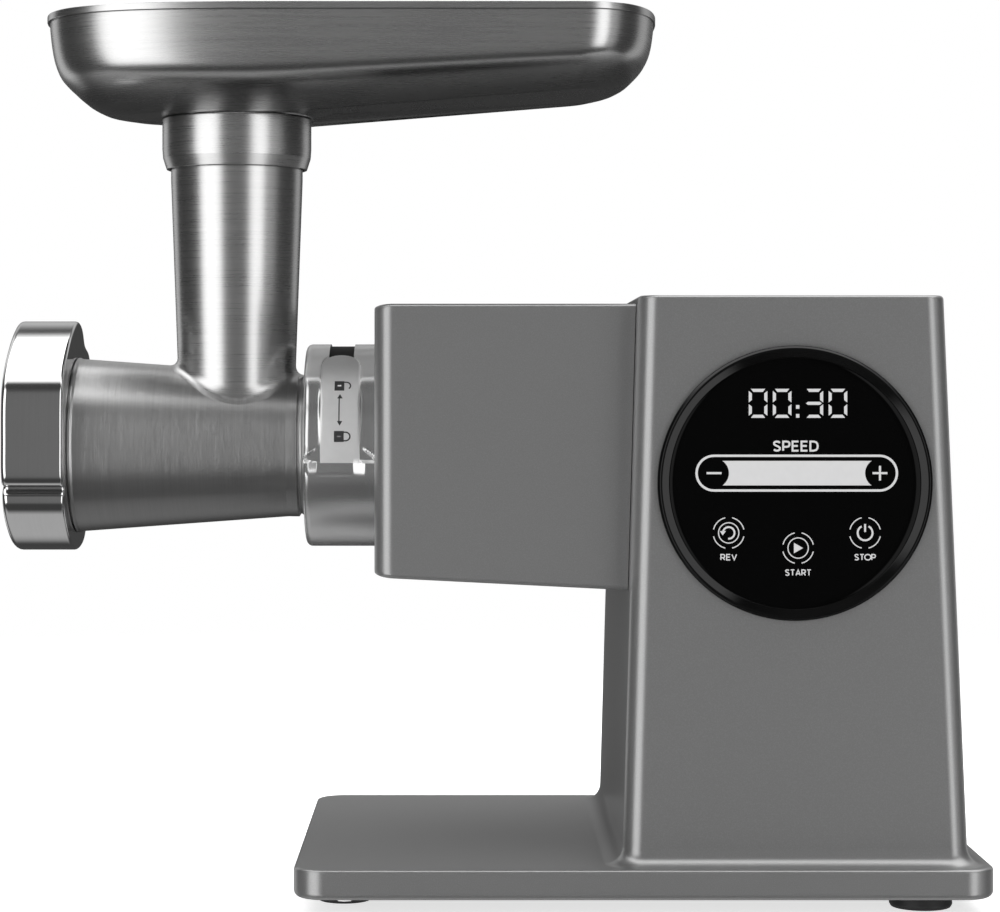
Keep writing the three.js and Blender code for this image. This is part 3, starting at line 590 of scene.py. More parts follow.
def base_row(z, grow):
    outline = rounded_rectangle(HOUSING_LOW.x - grow, HOUSING_HIGH.x + grow, HOUSING_LOW.y - grow,
                                HOUSING_HIGH.y + grow, BASE["corner"] + grow, 12)
    return [(x, y, z) for x, y in outline]


def base_solid():
    lower, upper = BASE["lower_edge"], BASE["upper_edge"]
    rows = [base_row(UNDERSIDE + lower * drop, -lower * run) for run, drop in reversed(quarter(6))]
    rows += [base_row(BASE_TOP - upper * drop, -upper * run) for run, drop in quarter(6)]
    return skin(rows)


# %% Casing
REAR_LOW, REAR_HIGH = low("rear_cover"), high("rear_cover")
REAR_WALL = {"thick": 6.5, "inside": 86, "outside": 99, "ledge": 8, "corner": 4}
PANEL_HOLE = {"radius": 50.6, "outside": -99.5, "inside": -91.5}
ARM_HOLE = {"half": 62, "bottom": 146, "top": 238, "from": 48, "to": 68, "corner": 4}


def rear_opening(grow, inside):
    """A cut through the rear wall in the cover's outline, so much larger all round."""
    outline = rounded_rectangle(REAR_LOW.x - grow, REAR_HIGH.x + grow, REAR_LOW.z - grow,
                                REAR_HIGH.z + grow, REAR_WALL["corner"])
    return prism("y", outline, inside, REAR_WALL["outside"])


def casing():
    below = UNDERSIDE - 2
    inner_base = skin([base_row(below, -WALL), base_row(BASE_TOP - WALL, -WALL)])
    inner_column = skin([column_row(z, -WALL, -REAR_WALL["thick"]) for z in (below, COLUMN_TOP - WALL)])
    panel_hole = bore("y", PANEL_AT, PANEL_HOLE["radius"], PANEL_HOLE["outside"], PANEL_HOLE["inside"], 128)
    arm_hole = prism("x", rounded_rectangle(-ARM_HOLE["half"], ARM_HOLE["half"], ARM_HOLE["bottom"],
                                            ARM_HOLE["top"], ARM_HOLE["corner"], 4),
                     ARM_HOLE["from"], ARM_HOLE["to"])
    recess = rear_opening(GAP, REAR_LOW.y - GAP)
    through = rear_opening(-REAR_WALL["ledge"], REAR_WALL["inside"])
    return cut(join(base_solid(), column_solid()), inner_base, inner_column, panel_hole, arm_hole,
               recess, through)


place("casing", casing(), "housing", "housing_paint", ["main_housing"])

# %% [markdown]
# ## The arm
#
# The arm is a separate cover that slides over the drive and butts against the column. Its free end is
# rounded in plan and its long edges carry a small radius. Its far end is cut by the column's own
# surface, so that the seam follows the lean.

# %% Arm
ARM = {"corner": 8.0, "edge": 2.0, "end_bottom": 134.9, "slope": -0.05, "socket_hole": 36.3}


def arm_row(x, inset, edge_inset, edge):
    bottom = ARM["end_bottom"] + ARM["slope"] * (x - ARM_LOW.x)
    outline = rounded_rectangle(ARM_LOW.y + inset, ARM_HIGH.y - inset, bottom + edge_inset,
                                ARM_HIGH.z - edge_inset, edge, 6)
    return [(x, y, z) for y, z in outline]


def arm_cover():
    corner, edge = ARM["corner"], ARM["edge"]
    rows = [arm_row(ARM_LOW.x + corner * run, corner * drop, edge * drop, edge) for run, drop in quarter(12)]
    meets = COLUMN["top"][0] + 4
    rows.append(arm_row(meets, 0, 0, edge))
    inside = skin([arm_row(ARM_LOW.x + WALL, WALL, WALL, 1), arm_row(meets + 2, WALL, WALL, 1)])
    socket_hole = bore("x", AXIS, ARM["socket_hole"], ARM_LOW.x - 1, ARM_LOW.x + 5)
    return cut(skin(rows), inside, column_solid(GAP), socket_hole)


place("arm_cover", arm_cover(), "housing", "housing_paint", ["arm_housing"])

# %% [markdown]
# ## The grinding head
#
# The head is a cone-shaped barrel with an upright feed tube. Where they meet, the real casting has a
# fillet. A Boolean join leaves a hard line, and rounding that line afterwards is fragile. So the tube's
# own foot is flared: at every angle a small curve leaves the tube, turns, and lands on the barrel.

# %% Head measures
HEAD_LOW, HEAD_HIGH = low("grinder_head"), high("grinder_head")
BARREL = {"flange": 38.3, "front": 37.6, "front_x": -173.4, "rear": 30.9, "rear_x": -80.4, "end": 30.6}
TUBE = {"foot": 24.6, "top": 28.8, "taper_top": 303.8, "wall": 2.7, "fillet": 4.6, "sunk": 0.12}
THROAT_RADIUS = TUBE["top"] - TUBE["wall"]


def barrel_radius(x):
    t = (x - BARREL["front_x"]) / (BARREL["rear_x"] - BARREL["front_x"])
    return BARREL["front"] + (BARREL["rear"] - BARREL["front"]) * t


def tube_radius(z):
    t = min(1.0, (z - AXIS_Z) / (TUBE["taper_top"] - AXIS_Z))
    return TUBE["foot"] + (TUBE["top"] - TUBE["foot"]) * t


def barrel_height(x, y):
    return AXIS_Z + math.sqrt(barrel_radius(x) ** 2 - y ** 2)


print("barrel radius under the tube, mm:", round(barrel_radius(TUBE_X), 2))

# %% Barrel
def barrel_solid():
    profile = [(0, HEAD_LOW.x, 0), (36.6, HEAD_LOW.x, 1.2), (36.6, -178.3, 0),
               (BARREL["flange"], -178.3, 0.3), (BARREL["flange"], -177.5, 0.3), (37.78, -176.6, 0.5),
               (BARREL["rear"] + 0.35, -86, 3), (31.3, -83.6, 0.4), (31.3, -81.4, 0.4), (29.9, -80.6, 0.3),
               (30.6, -79.4, 0.3), (BARREL["end"], HEAD_HIGH.x, 0.6), (0, HEAD_HIGH.x, 0)]
    return turned(profile, "x", AXIS, 144)


# %% Tube with a flared foot
def columns_skin(columns, **joins):
    """A skin from upright columns of (radius, height), each with its angle round the tube."""
    placed = [[(TUBE_X + r * math.cos(a), r * math.sin(a), z) for r, z in column] for a, column in columns]
    return skin([list(row) for row in zip(*placed)], **joins)


def tube_solid(segments=144, taper_steps=12, foot_steps=9):
    top, taper_top, fillet = TUBE["top"], TUBE["taper_top"], TUBE["fillet"]
    foot = tube_radius(AXIS_Z + 25)
    wide = foot + fillet
    columns = []
    for k in range(segments):
        angle = 2 * math.pi * k / segments
        c, s = math.cos(angle), math.sin(angle)
        turn_z = barrel_height(TUBE_X + foot * c, foot * s)
        land_z = barrel_height(TUBE_X + wide * c, wide * s) - TUBE["sunk"]
        start_z = turn_z + fillet
        column = [(top - 1.4, HEAD_HIGH.z), (top - 0.4, HEAD_HIGH.z - 0.4), (top, HEAD_HIGH.z - 1.4),
                  (top, taper_top)]
        for step in range(1, taper_steps):
            z = taper_top + (start_z - taper_top) * step / taper_steps
            column.append((tube_radius(z), z))
        column += bend((tube_radius(start_z), start_z), (foot, turn_z), (wide, land_z), foot_steps)
        column += [(wide + 0.2, land_z - 1.5), (wide - 2, AXIS_Z)]
        columns.append((angle, column))
    return columns_skin(columns)


# %% [markdown]
# Inside, the barrel is bored in steps: a wide seat for the plate, the chamber that the auger turns in, a
# narrow passage for its shaft, and a socket at the rear. The throat follows the tube's taper.

# %% Bores and throat
HEAD_BORES = [(31.2, HEAD_LOW.x - 1, -188), (27.5, -189, -66), (10, -67, -57), (27.5, -58, -51)]
THROAT_TOP = 331


def head_shell():
    bores = [bore("x", AXIS, radius, start, end) for radius, start, end in HEAD_BORES]
    throat = lathe([(0, AXIS_Z), (TUBE["foot"] - TUBE["wall"], AXIS_Z), (THROAT_RADIUS, TUBE["taper_top"]),
                    (THROAT_RADIUS, THROAT_TOP), (0, THROAT_TOP)], "z", (TUBE_X, 0))
    return cut(join(barrel_solid(), tube_solid()), *bores, throat)


head = place("grinding_head", head_shell(), "head", "brushed_steel", ["grinder_head"], BARREL_STEEL, 40)

# %% [markdown]
# The barrel and the tube were brushed in different directions, so the head wears two finishes. The
# faces near the tube's own axis take the second one.

# %% Two brushing directions on one casting
def on_tube(centre):
    near = math.hypot(centre.x - TUBE_X, centre.y) < tube_radius(centre.z) + 1.3
    return near and centre.z > AXIS_Z + 12


repaint(head, FINISHES["brushed_steel"], on_tube)

# %% [markdown]
# ## The tray
#
# The tray is pressed from thin sheet: steep sides, a floor that falls gently to the throat, a soft
# blunt end on the right and a longer one on the left. Its plan is a superellipse, and the insets at
# each depth differ for the ends and the long sides, which is how a press tool is drawn.

# %% Tray
TRAY_HIGH = high("tray")
LIP = 0.8                        # how far the rolled rim stands out
TRAY = {"half": TRAY_HIGH.y - LIP, "left": (-65.0, 123.3, 3.5), "right": (36.0, 37.0, 2.7), "sheet": 1.2,
        "floor": 331.0, "rise": 0.081, "rise_from": -77}
# depth as a share, inset of the ends, inset of the long sides
TRAY_PRESS = [(0, 0, 0), (0.2, 0.6, 0.5), (0.4, 1.7, 1.3), (0.54, 3.2, 2.3), (0.64, 5.2, 3.6),
              (0.71, 7.6, 5.6), (0.77, 10.2, 8.8), (0.82, 12.4, 13.2), (0.87, 15, 19.5), (0.92, 18.8, 27),
              (0.96, 23, 34), (1, 32, 42)]
# inset and lift of the rim's own outlines, from the inside over the top and down
TRAY_RIM = [(1.2, -0.5), (0.9, -0.12), (0.5, 0), (0.2 - LIP, 0), (-LIP, -0.3), (-LIP, -2.6),
            (0.25 - LIP, -2.95), (0.35, -3.05), (0.35, -3.5)]


def tray_floor(x):
    return TRAY["floor"] + TRAY["rise"] * max(0.0, x - TRAY["rise_from"])


def tray_row(depth, end_inset, side_inset, lift=0.0, steps=22):
    """The tray's outline at one depth; its left and right ends each have a centre, reach and power."""
    row = []
    for k in range(4 * steps):
        angle = 2 * math.pi * (k + 0.5) / (4 * steps)
        c, s = math.cos(angle), math.sin(angle)
        centre, reach, power = TRAY["left"] if c < 0 else TRAY["right"]
        inset = end_inset if c < 0 else end_inset * 0.7
        x = centre + math.copysign((reach - inset) * abs(c) ** (2 / power), c)
        y = math.copysign((TRAY["half"] - side_inset) * abs(s) ** (2 / power), s)
        row.append((x, y, TRAY_HIGH.z + (tray_floor(x) - TRAY_HIGH.z) * depth + lift))
    return row


def smooth_press(count=34):
    """The press section with more points, by an even walk along a smooth curve."""
    table = np.array(TRAY_PRESS)
    slopes = np.gradient(table, axis=0)
    out = []
    for t in np.linspace(0, len(table) - 1, count):
        k = min(int(t), len(table) - 2)
        h = t - k
        a, b = table[k], table[k + 1]
        out.append(a * (2 * h**3 - 3 * h**2 + 1) + b * (3 * h**2 - 2 * h**3)
                   + slopes[k] * (h**3 - 2 * h**2 + h) + slopes[k + 1] * (h**3 - h**2))
    return out


def tray_shell():
    """Rows from the floor's inside up to the rim, over it, and down the outside."""
    press, sheet = smooth_press(), TRAY["sheet"]
    rows = [tray_row(depth, ends + sheet, sides + sheet, sheet) for depth, ends, sides in reversed(press)]
    rows = [row for row in rows if row[0][2] < TRAY_HIGH.z - 0.6]
    rows += [tray_row(0, inset, inset, lift) for inset, lift in TRAY_RIM]
    rows += [tray_row(depth, ends, sides) for depth, ends, sides in press if depth > 0.1]
    throat = bore("z", (TUBE_X, 0), THROAT_RADIUS, TRAY["floor"] - 6, TRAY["floor"] + 10)
    return cut(skin(rows), throat)


tray_mesh = tray_shell()
print("tray:", len(tray_mesh.polygons), "faces")

# %% [markdown]
# A flared neck is welded under the floor. Its foot is a plain circle, but its top has to follow the
# floor, so a ray is sent up at each angle to find the height of the sheet there.

# %% Tray neck
COLLAR = {"radius": 32.6, "bore": 29.4, "bottom": low("tray_collar").z, "seam": 330.9, "reach": 46}


def tray_neck(segments=120, steps=10):
    tree = BVHTree.FromPolygons([v.co for v in tray_mesh.vertices], [p.vertices for p in tray_mesh.polygons])
    inner, wide, seam = TUBE["top"] + 0.9, COLLAR["reach"], COLLAR["seam"]
    edge = COLLAR["radius"] + 0.3
    columns = []
    for k in range(segments):
        angle = 2 * math.pi * k / segments
        below = Vector((TUBE_X + wide * math.cos(angle), wide * math.sin(angle), 300))
        top = tree.ray_cast(below * MM, Vector((0, 0, 1)))[0].z / MM + 0.15
        knee = (edge, min(top - 0.2, seam + 1.6))
        column = [(inner, seam), (COLLAR["radius"] - 0.1, seam)]
        column += bend((edge, seam + 0.3), knee, (wide, top), steps)
        columns.append((angle, column + [(inner, top)]))
    return columns_skin(columns, close_along=True)


place("tray_dish", merged(tray_mesh, tray_neck()), "tray", "brushed_steel", ["tray"], angle=50)


# %% [markdown]
# Under the neck sits the sleeve that slips over the feed tube. It is a turned ring, straight inside,
# and its outside draws in a little towards the lower edge.

# %% Tray collar
def tray_collar():
    r, bottom, top = COLLAR["radius"], COLLAR["bottom"], COLLAR["seam"] - 0.35
    return turned([(COLLAR["bore"], bottom, 0.4), (r - 1.9, bottom, 0.5), (r - 0.3, bottom + 5, 1.2),
                   (r, bottom + 9, 3), (r, top, 0.35), (COLLAR["bore"], top, 0)], "z", (TUBE_X, 0), 128)


place("tray_collar_sleeve", tray_collar(), "tray", "brushed_steel", ["tray_collar"])

# %% [markdown]
# ## The ring nut
#
# The nut that holds the plate is gripped by hand, so its rim rises and falls in cams of unequal height.
# A smooth curve through a few radii draws the rim, and the outline is stacked with rounded edges. A
# plain cylinder would miss the bright step where one cam ends.

# %% Rim of the nut
NUT_LOW, NUT_HIGH = low("ring_nut"), high("ring_nut")
NUT = {"bore": 37.0, "mouth": 27.0, "front_edge": 2.6, "back_edge": 1.5}
# angle from the top towards the near side, and radius
NUT_CAMS = [(0, 54.2), (32, 51.6), (62, 54.4), (90, 50.6), (103, 51.6), (108.5, 50.6), (111.5, 47),
            (115, 51), (124, 51.6), (150, 47.6), (180, 45.9), (205, 47.2), (222, 46.8), (230, 52),
            (262, 54.2), (290, 52), (316, 54.6), (334, 50), (345, 53.6)]


def between(a, b, start, end, t):
    """The point at t on the line that passes a at start and b at end."""
    return (a * (end - t) + b * (t - start)) / (end - start)


def smooth_loop(points, steps):
    """A centripetal curve through a closed row of 2-D points."""
    out = []
    count = len(points)
    for k in range(count):
        p = [Vector(points[(k + j) % count]) for j in (-1, 0, 1, 2)]
        knots = [0.0]
        for a, b in zip(p, p[1:]):
            knots.append(knots[-1] + (b - a).length ** 0.5)
        for step in range(steps):
            t = knots[1] + (knots[2] - knots[1]) * step / steps
            lines = [between(p[j], p[j + 1], knots[j], knots[j + 1], t) for j in range(3)]
            bows = [between(lines[j], lines[j + 1], knots[j], knots[j + 2], t) for j in range(2)]
            out.append(tuple(between(*bows, knots[1], knots[2], t)))
    return out


# %% Ring nut
def nut_rows():
    polar = [(-r * math.sin(math.radians(a)), r * math.cos(math.radians(a))) for a, r in NUT_CAMS]
    rim = smooth_loop(polar, 18)
    front, back = NUT["front_edge"], NUT["back_edge"]
    levels = [(NUT_LOW.x + front * drop, front * run) for run, drop in reversed(quarter(5))]
    levels += [(NUT_HIGH.x - back * drop, back * run) for run, drop in quarter(4)]
    rows = []
    for x, inset in levels:
        row = []
        for y, z in rim:
            scale = 1 - inset / math.hypot(y, z)
            row.append((x, y * scale, AXIS_Z + z * scale))
        rows.append(row)
    return rows


def nut_body():
    front, behind, mouth = NUT_LOW.x, NUT_HIGH.x + 1, NUT["mouth"]
    opening = lathe([(0, front - 1), (mouth + 3.4, front - 1), (mouth + 2.4, front), (mouth + 0.4, front + 2),
                     (mouth, front + 3), (mouth, behind), (0, behind)], "x", AXIS, 128)
    room = bore("x", AXIS, NUT["bore"], HEAD_LOW.x - 0.4, behind, 128)
    return cut(skin(nut_rows()), opening, room)


place("ring_nut_body", nut_body(), "ring_nut", "polished_chrome", ["ring_nut"], angle=38)

# %% [markdown]
# ## The lock ring
#
# A turn of this ring locks or frees the head. A thumb pad runs down its near side between two hollows,
# a dark window above shows how far it has turned, and a bevelled ledge gives the thumb something to
# push. All of that is one surface drawn as a radius that varies with place, like a relief map wrapped
# round a cylinder. Boolean cuts would leave sharp edges where the real casting is soft.

# %% Lock ring measures
# along the axis in millimetres, round it in degrees from the top towards the near side
RING_LOW, RING_HIGH = low("lock_ring"), high("lock_ring")
RING = {"radius": 44.2, "inner": 31.2, "socket": 36.3, "lip": -75.0, "edge": 2.6, "step": 0.35}
PAD = {"centre": -62.2, "half": 8.4, "top": 26.0, "arch": 13.0, "flare": 7.0, "sunk": 0.5, "step": 2.3,
       "hollow": 2.4, "pale_start": 20, "pale_end": 99.4, "ledge": 99.5, "ledge_end": 106.6}
POCKET = {"left": -76.8, "right": -51.4, "bevel": 5.0}
WINDOW = {"left": -67.5, "right": -56.9, "from": -12.0, "to": 30.0, "depth": 0.9, "wall": 0.02}
print("lock ring spans x", round(RING_LOW.x, 1), "to", round(RING_HIGH.x, 1))


# %% [markdown]
# The relief is built from shares between 0 and 1: how much a place belongs to the pad, which turns over
# smoothly, and how much to the pocket under it, which has straight bevels. The radius is mixed from them.

# %% Relief of the ring
# degrees between which each part of the relief comes in or goes
TURNS = {"flare": (84, 98), "foot": (97, 99.4), "sink": (40, 98), "hollow_in": (46, 66),
         "hollow_out": (88, 97.5)}


def ease(value, start, end):
    """0 before start, 1 after end, with a smooth turn between."""
    t = min(1.0, max(0.0, (value - start) / (end - start)))
    return t * t * (3 - 2 * t)


def pad_share(x, angle):
    """1 on the thumb pad, 0 beside it, with a soft edge between."""
    away = abs(x - PAD["centre"])
    beside = ease(away - PAD["half"] - PAD["flare"] * ease(angle, *TURNS["flare"]) ** 2, -1.0, 1.0)
    arch = PAD["top"] + PAD["arch"] * (1 - math.sqrt(max(0.0, 1 - (away / PAD["half"]) ** 2)))
    return (1 - beside) * ease(angle, arch - 1.2, arch + 1.2)


def pocket_share(x):
    """1 in the middle of the ledge, falling in straight lines to 0 at its bevelled ends."""
    return max(0.0, min(1.0, (x - POCKET["left"]) / POCKET["bevel"], (POCKET["right"] - x) / POCKET["bevel"]))


def ring_radius(x, angle):
    """Radius of the lock ring at a place; the angle is in degrees from the top towards the near side."""
    pad = pad_share(x, angle)
    if WINDOW["from"] <= angle <= WINDOW["to"] and WINDOW["left"] <= x <= WINDOW["right"]:
        return RING["radius"] - WINDOW["depth"] * (1 - pad) - PAD["sunk"] * pad
    low_pad = pad + (pocket_share(x) - pad) * ease(angle, *TURNS["foot"])
    sunk = PAD["sunk"] + (PAD["step"] - PAD["sunk"]) * ease(angle, *TURNS["sink"])
    hollow = PAD["hollow"] * ease(angle, *TURNS["hollow_in"]) * (1 - ease(angle, *TURNS["hollow_out"]))
    ramp = min(1.0, max(0.0, (angle - PAD["ledge"]) / (PAD["ledge_end"] - PAD["ledge"])))
    return RING["radius"] - (sunk * low_pad + hollow * (1 - low_pad)) * (1 - ramp ** 2.5)


# %% [markdown]
# The ring is swept from one section to the next: finely where the relief is, in wider steps round the
# back. Extra sections and points stand on both sides of the window's walls and at the ledge, so that
# those edges are crisp.

# %% Lock ring
SWEEP = {"start": -16, "relief_end": 112, "fine": 0.8, "wide": 3.0}


def ring_section(angle):
    """Closed section through the ring at one angle, as (x, radius)."""
    front, back, edge = RING_LOW.x, RING_HIGH.x, RING["edge"]
    section = [(front, RING["inner"])]
    section += [(front + edge * run, ring_radius(front + edge * run, angle) - edge * drop)
                for run, drop in quarter(6)]
    inside = list(np.arange(front + edge + RING["step"], back - 0.7, RING["step"]))
    for wall in (WINDOW["left"], WINDOW["right"]):
        inside += [wall - WINDOW["wall"], wall + WINDOW["wall"]]
    section += [(x, ring_radius(x, angle)) for x in sorted(inside)]
    last = ring_radius(back, angle)
    section += [(back - 0.5, last), (back - 0.15, last - 0.15), (back, last - 0.5)]
    section += [(back, RING["socket"]), (RING["lip"], RING["socket"]), (RING["lip"], RING["inner"])]
    return section


def lock_ring():
    start, relief_end = SWEEP["start"], SWEEP["relief_end"]
    angles = [*np.arange(start, relief_end, SWEEP["fine"]),
              *np.arange(relief_end, start + 360, SWEEP["wide"])]
    angles += [WINDOW["from"] - 0.03, WINDOW["from"] + 0.03, PAD["ledge"], PAD["ledge_end"]]
    rows = [[around("x", AXIS, radius, x, math.radians(angle)) for x, radius in ring_section(angle)]
            for angle in sorted(angles)]
    return skin(rows, close_along=True)


ring = place("lock_ring_body", lock_ring(), "lock_ring", "satin_chrome", ["lock_ring"], angle=24)


# %% Black window and pale pad
def ring_place(centre):
    """Radius and angle, in degrees, of a place on the ring."""
    up, near = centre.z - AXIS_Z, -centre.y
    return math.hypot(near, up), math.degrees(math.atan2(near, up))


def on_window(centre):
    out, angle = ring_place(centre)
    return (WINDOW["left"] < centre.x < WINDOW["right"] and WINDOW["from"] < angle < WINDOW["to"]
            and RING["socket"] + 3 < out < RING["radius"] - 0.75)


def on_pale_strip(centre):
    out, angle = ring_place(centre)
    return (abs(centre.x - PAD["centre"]) < PAD["half"] and PAD["pale_start"] < angle < PAD["pale_end"]
            and out > RING["socket"] + 3 and pad_share(centre.x, angle) > 0.5)


repaint(ring, WINDOW_BLACK, on_window)
repaint(ring, PAD_SATIN, on_pale_strip)

# %% [markdown]
# ## Symbols as thin solids
#
# The display and the pad carry print: digits, a speed bar, three buttons and two padlocks. Each mark is
# a stroke of a certain width or a filled shape, laid on its surface by a function that maps flat places
# to the panel or round the ring. As thin solids the marks stay crisp from any distance.

# %% Strokes and fills
def stroke(points, width, onto, closed=False, thick=0.1):
    """A line of a certain width as a thin solid, mitred at its corners."""
    points = [Vector(p) for p in points]
    count = len(points)
    rows = []
    for k, p in enumerate(points):
        before = p - points[k - 1] if closed or k else points[1] - p
        after = points[(k + 1) % count] - p if closed or k < count - 1 else before
        before, after = before.normalized(), after.normalized()
        side = Vector((-(before + after).y, (before + after).x)).normalized()
        lean = max(0.5, side.dot(Vector((-before.y, before.x))))
        side *= width / 2 / lean
        rows.append([onto(*(p - side), 0), onto(*(p + side), 0), onto(*(p + side), thick),
                     onto(*(p - side), thick)])
    return skin(rows, close_along=closed)


def fill(points, onto, thick=0.1):
    return skin([[onto(u, v, 0) for u, v in points], [onto(u, v, thick) for u, v in points]])


def arc(centre, radius, start, end, steps):
    angles = [math.radians(start + (end - start) * k / steps) for k in range(steps + 1)]
    return [(centre[0] + radius * math.cos(a), centre[1] + radius * math.sin(a)) for a in angles]


# %% [markdown]
# The words on the buttons are plain working words. A small stroke alphabet of just the letters they
# need is drawn from points on a box one unit high.

# %% A stroke alphabet
SCROLL = [(0.56, 0.86), (0.45, 0.97), (0.3, 1), (0.15, 0.97), (0.05, 0.87), (0.05, 0.72), (0.15, 0.6),
          (0.3, 0.52), (0.45, 0.43), (0.56, 0.32), (0.56, 0.15), (0.45, 0.03), (0.3, 0), (0.15, 0.03),
          (0.03, 0.14)]
LOOP = [(0, 0), (0, 1), (0.32, 1), (0.48, 0.95), (0.56, 0.84), (0.56, 0.6), (0.48, 0.47), (0.32, 0.42),
        (0, 0.42)]
# width of each letter and its strokes
LETTERS = {
    "S": (0.6, [SCROLL]), "P": (0.58, [LOOP]), "R": (0.6, [LOOP, [(0.3, 0.42), (0.58, 0)]]),
    "E": (0.54, [[(0.54, 1), (0, 1), (0, 0), (0.54, 0)], [(0, 0.52), (0.48, 0.52)]]),
    "D": (0.66, [[(0, 0), (0, 1), (0.3, 1), (0.52, 0.92), (0.63, 0.74), (0.66, 0.5), (0.63, 0.26),
                  (0.52, 0.08), (0.3, 0), (-0.08, 0)]]),
    "V": (0.68, [[(0, 1), (0.34, 0), (0.68, 1)]]), "T": (0.6, [[(0, 1), (0.6, 1)], [(0.3, 1), (0.3, 0)]]),
    "A": (0.7, [[(0, 0), (0.35, 1), (0.7, 0)], [(0.12, 0.28), (0.58, 0.28)]]),
    "O": (0.76, [arc((0.38, 0.5), 0.5, 90, 450, 28)]),
}


LETTER_GAP = 0.26


def word(text, centre, height, weight, width, onto):
    """A word's strokes, with the letters squeezed or stretched to fill the width."""
    natural = sum(LETTERS[letter][0] for letter in text) + LETTER_GAP * (len(text) - 1)
    squeeze = width / (natural * height)
    u = centre[0] - natural * height * squeeze / 2
    made = []
    for letter in text:
        wide, lines = LETTERS[letter]
        for line in lines:
            spots = [(u + a * height * squeeze, centre[1] + (b - 0.5) * height) for a, b in line]
            made.append(stroke(spots, weight, onto))
        u += (wide + LETTER_GAP) * height * squeeze
    return made


# %% [markdown]
# ## The control panel
#
# A gloss black bezel stands a little proud of the column. Its inner edge slopes down to the glass, and
# that slope is what catches long crescents of light. The glass is flat under the print and
# rolls off near its rim, so that its own reflection bends there.

# %% Bezel and glass
FACE = low("control_bezel").y
BEZEL_BACK = high("control_bezel").y
PANEL_RADIUS = high("control_bezel").x - PANEL.x
GLASS = {"inside_rim": 5.0, "depth": 0.4, "roll": 4.0, "fall": 0.6, "back": 1.5}


def bezel():
    r = PANEL_RADIUS
    seat = -COLUMN["half"] - GAP
    profile = [(r, seat, 0.2), (r, FACE + 1.1, 0.9), (r - 1.1, FACE, 0.7), (r - 1.9, FACE, 0.35),
               (r - 4.8, FACE + 1.0, 0.3), (r - 4.8, seat + 0.2, 0), (r - 7.3, seat + 0.2, 0),
               (r - 7.3, BEZEL_BACK, 0), (r - 5.3, BEZEL_BACK, 0), (r - 5.3, seat, 0)]
    return turned(profile, "y", PANEL_AT, 160)


def glass(steps=8):
    r, roll = PANEL_RADIUS - GLASS["inside_rim"], GLASS["roll"]
    flat, back = FACE + GLASS["depth"], FACE + GLASS["back"]
    profile = [(0, flat), (r - roll, flat)]
    profile += [(r - roll + roll * k / steps, flat + GLASS["fall"] * (k / steps) ** 2.5)
                for k in range(1, steps + 1)]
    return lathe(profile + [(r, back), (0, back)], "y", PANEL_AT, 160)


place("panel_bezel", bezel(), "housing", "gloss_black", ["control_bezel"])
place("panel_glass", glass(), "housing", "panel_glass", ["control_glass"])


# %% [markdown]
# The digits are seven-segment cells with tapered ends, as a light guide makes them. Only the bars that
# a nought and a three need are named: a is the top one, and the rest go round from there to g, the
# middle one.

# %% Clock digits
def on_panel(u, v, h):
    """A place on the glass, measured from its centre, with the print's foot just under its face."""
    return (PANEL.x + u, FACE + GLASS["depth"] + 0.04 - h, PANEL.z + v)


SEGMENTS = {"0": "abcdef", "3": "abcdg"}
DIGIT = {"wide": 7.5, "high": 11.7, "line": 1.25, "gap": 0.35, "bevel": 0.5, "tip": 0.2}
DIGIT_FOOT = 26.4
DIGITS = [("0", -18.8), ("0", -9.1), ("3", 3.7), ("0", 13.4)]
COLON = {"left": 0.25, "right": 1.6, "half": 0.75, "levels": (0.8, 4.4)}


def segment(name, u, v):
    """One bar of a digit whose lower left corner is at (u, v)."""
    w, h, line, gap, bevel = (DIGIT[key] for key in ("wide", "high", "line", "gap", "bevel"))
    half, taper = h / 2, line * 0.8
    if name == "g":
        y, thin = v + half, line / 2
        left, right = u + gap, u + w - gap
        return [(left + taper, y - thin), (left + DIGIT["tip"], y), (left + taper, y + thin),
                (right - taper, y + thin), (right - DIGIT["tip"], y), (right - taper, y - thin)]
    if name in "ad":
        y, inner = (v + h, -line) if name == "a" else (v, line)
        left, right = u + gap + bevel, u + w - gap - bevel
        return [(left, y), (right, y), (right - taper, y + inner), (left + taper, y + inner)]
    x, inner = (u, line) if name in "ef" else (u + w, -line)
    upper = name in "bf"
    low_end, high_end = (v + half + gap, v + h - gap) if upper else (v + gap, v + half - gap)
    outer_low, outer_high = (low_end, high_end - bevel) if upper else (low_end + bevel, high_end)
    return [(x, outer_low), (x, outer_high), (x + inner, outer_high - taper), (x + inner, outer_low + taper)]


def clock():
    outlines = [segment(name, u, DIGIT_FOOT) for number, u in DIGITS for name in SEGMENTS[number]]
    left, right, half = COLON["left"], COLON["right"], COLON["half"]
    for level in COLON["levels"]:
        v = DIGIT_FOOT + level
        outlines.append([(left, v - half), (right, v - half), (right, v + half), (left, v + half)])
    return [fill(outline, on_panel) for outline in outlines]


# %% [markdown]
# The speed bar lies in a pill-shaped outline, between a minus and a plus. Its ends are hollow, because
# they follow the two round keys.

# %% Speed slider
SLIDER = {"level": 4.1, "minus": -32.8, "plus": 34.1, "key": 6.0, "half": 4.95}
PILL = {"left": -32.85, "right": 33.95, "radius": 7.0}


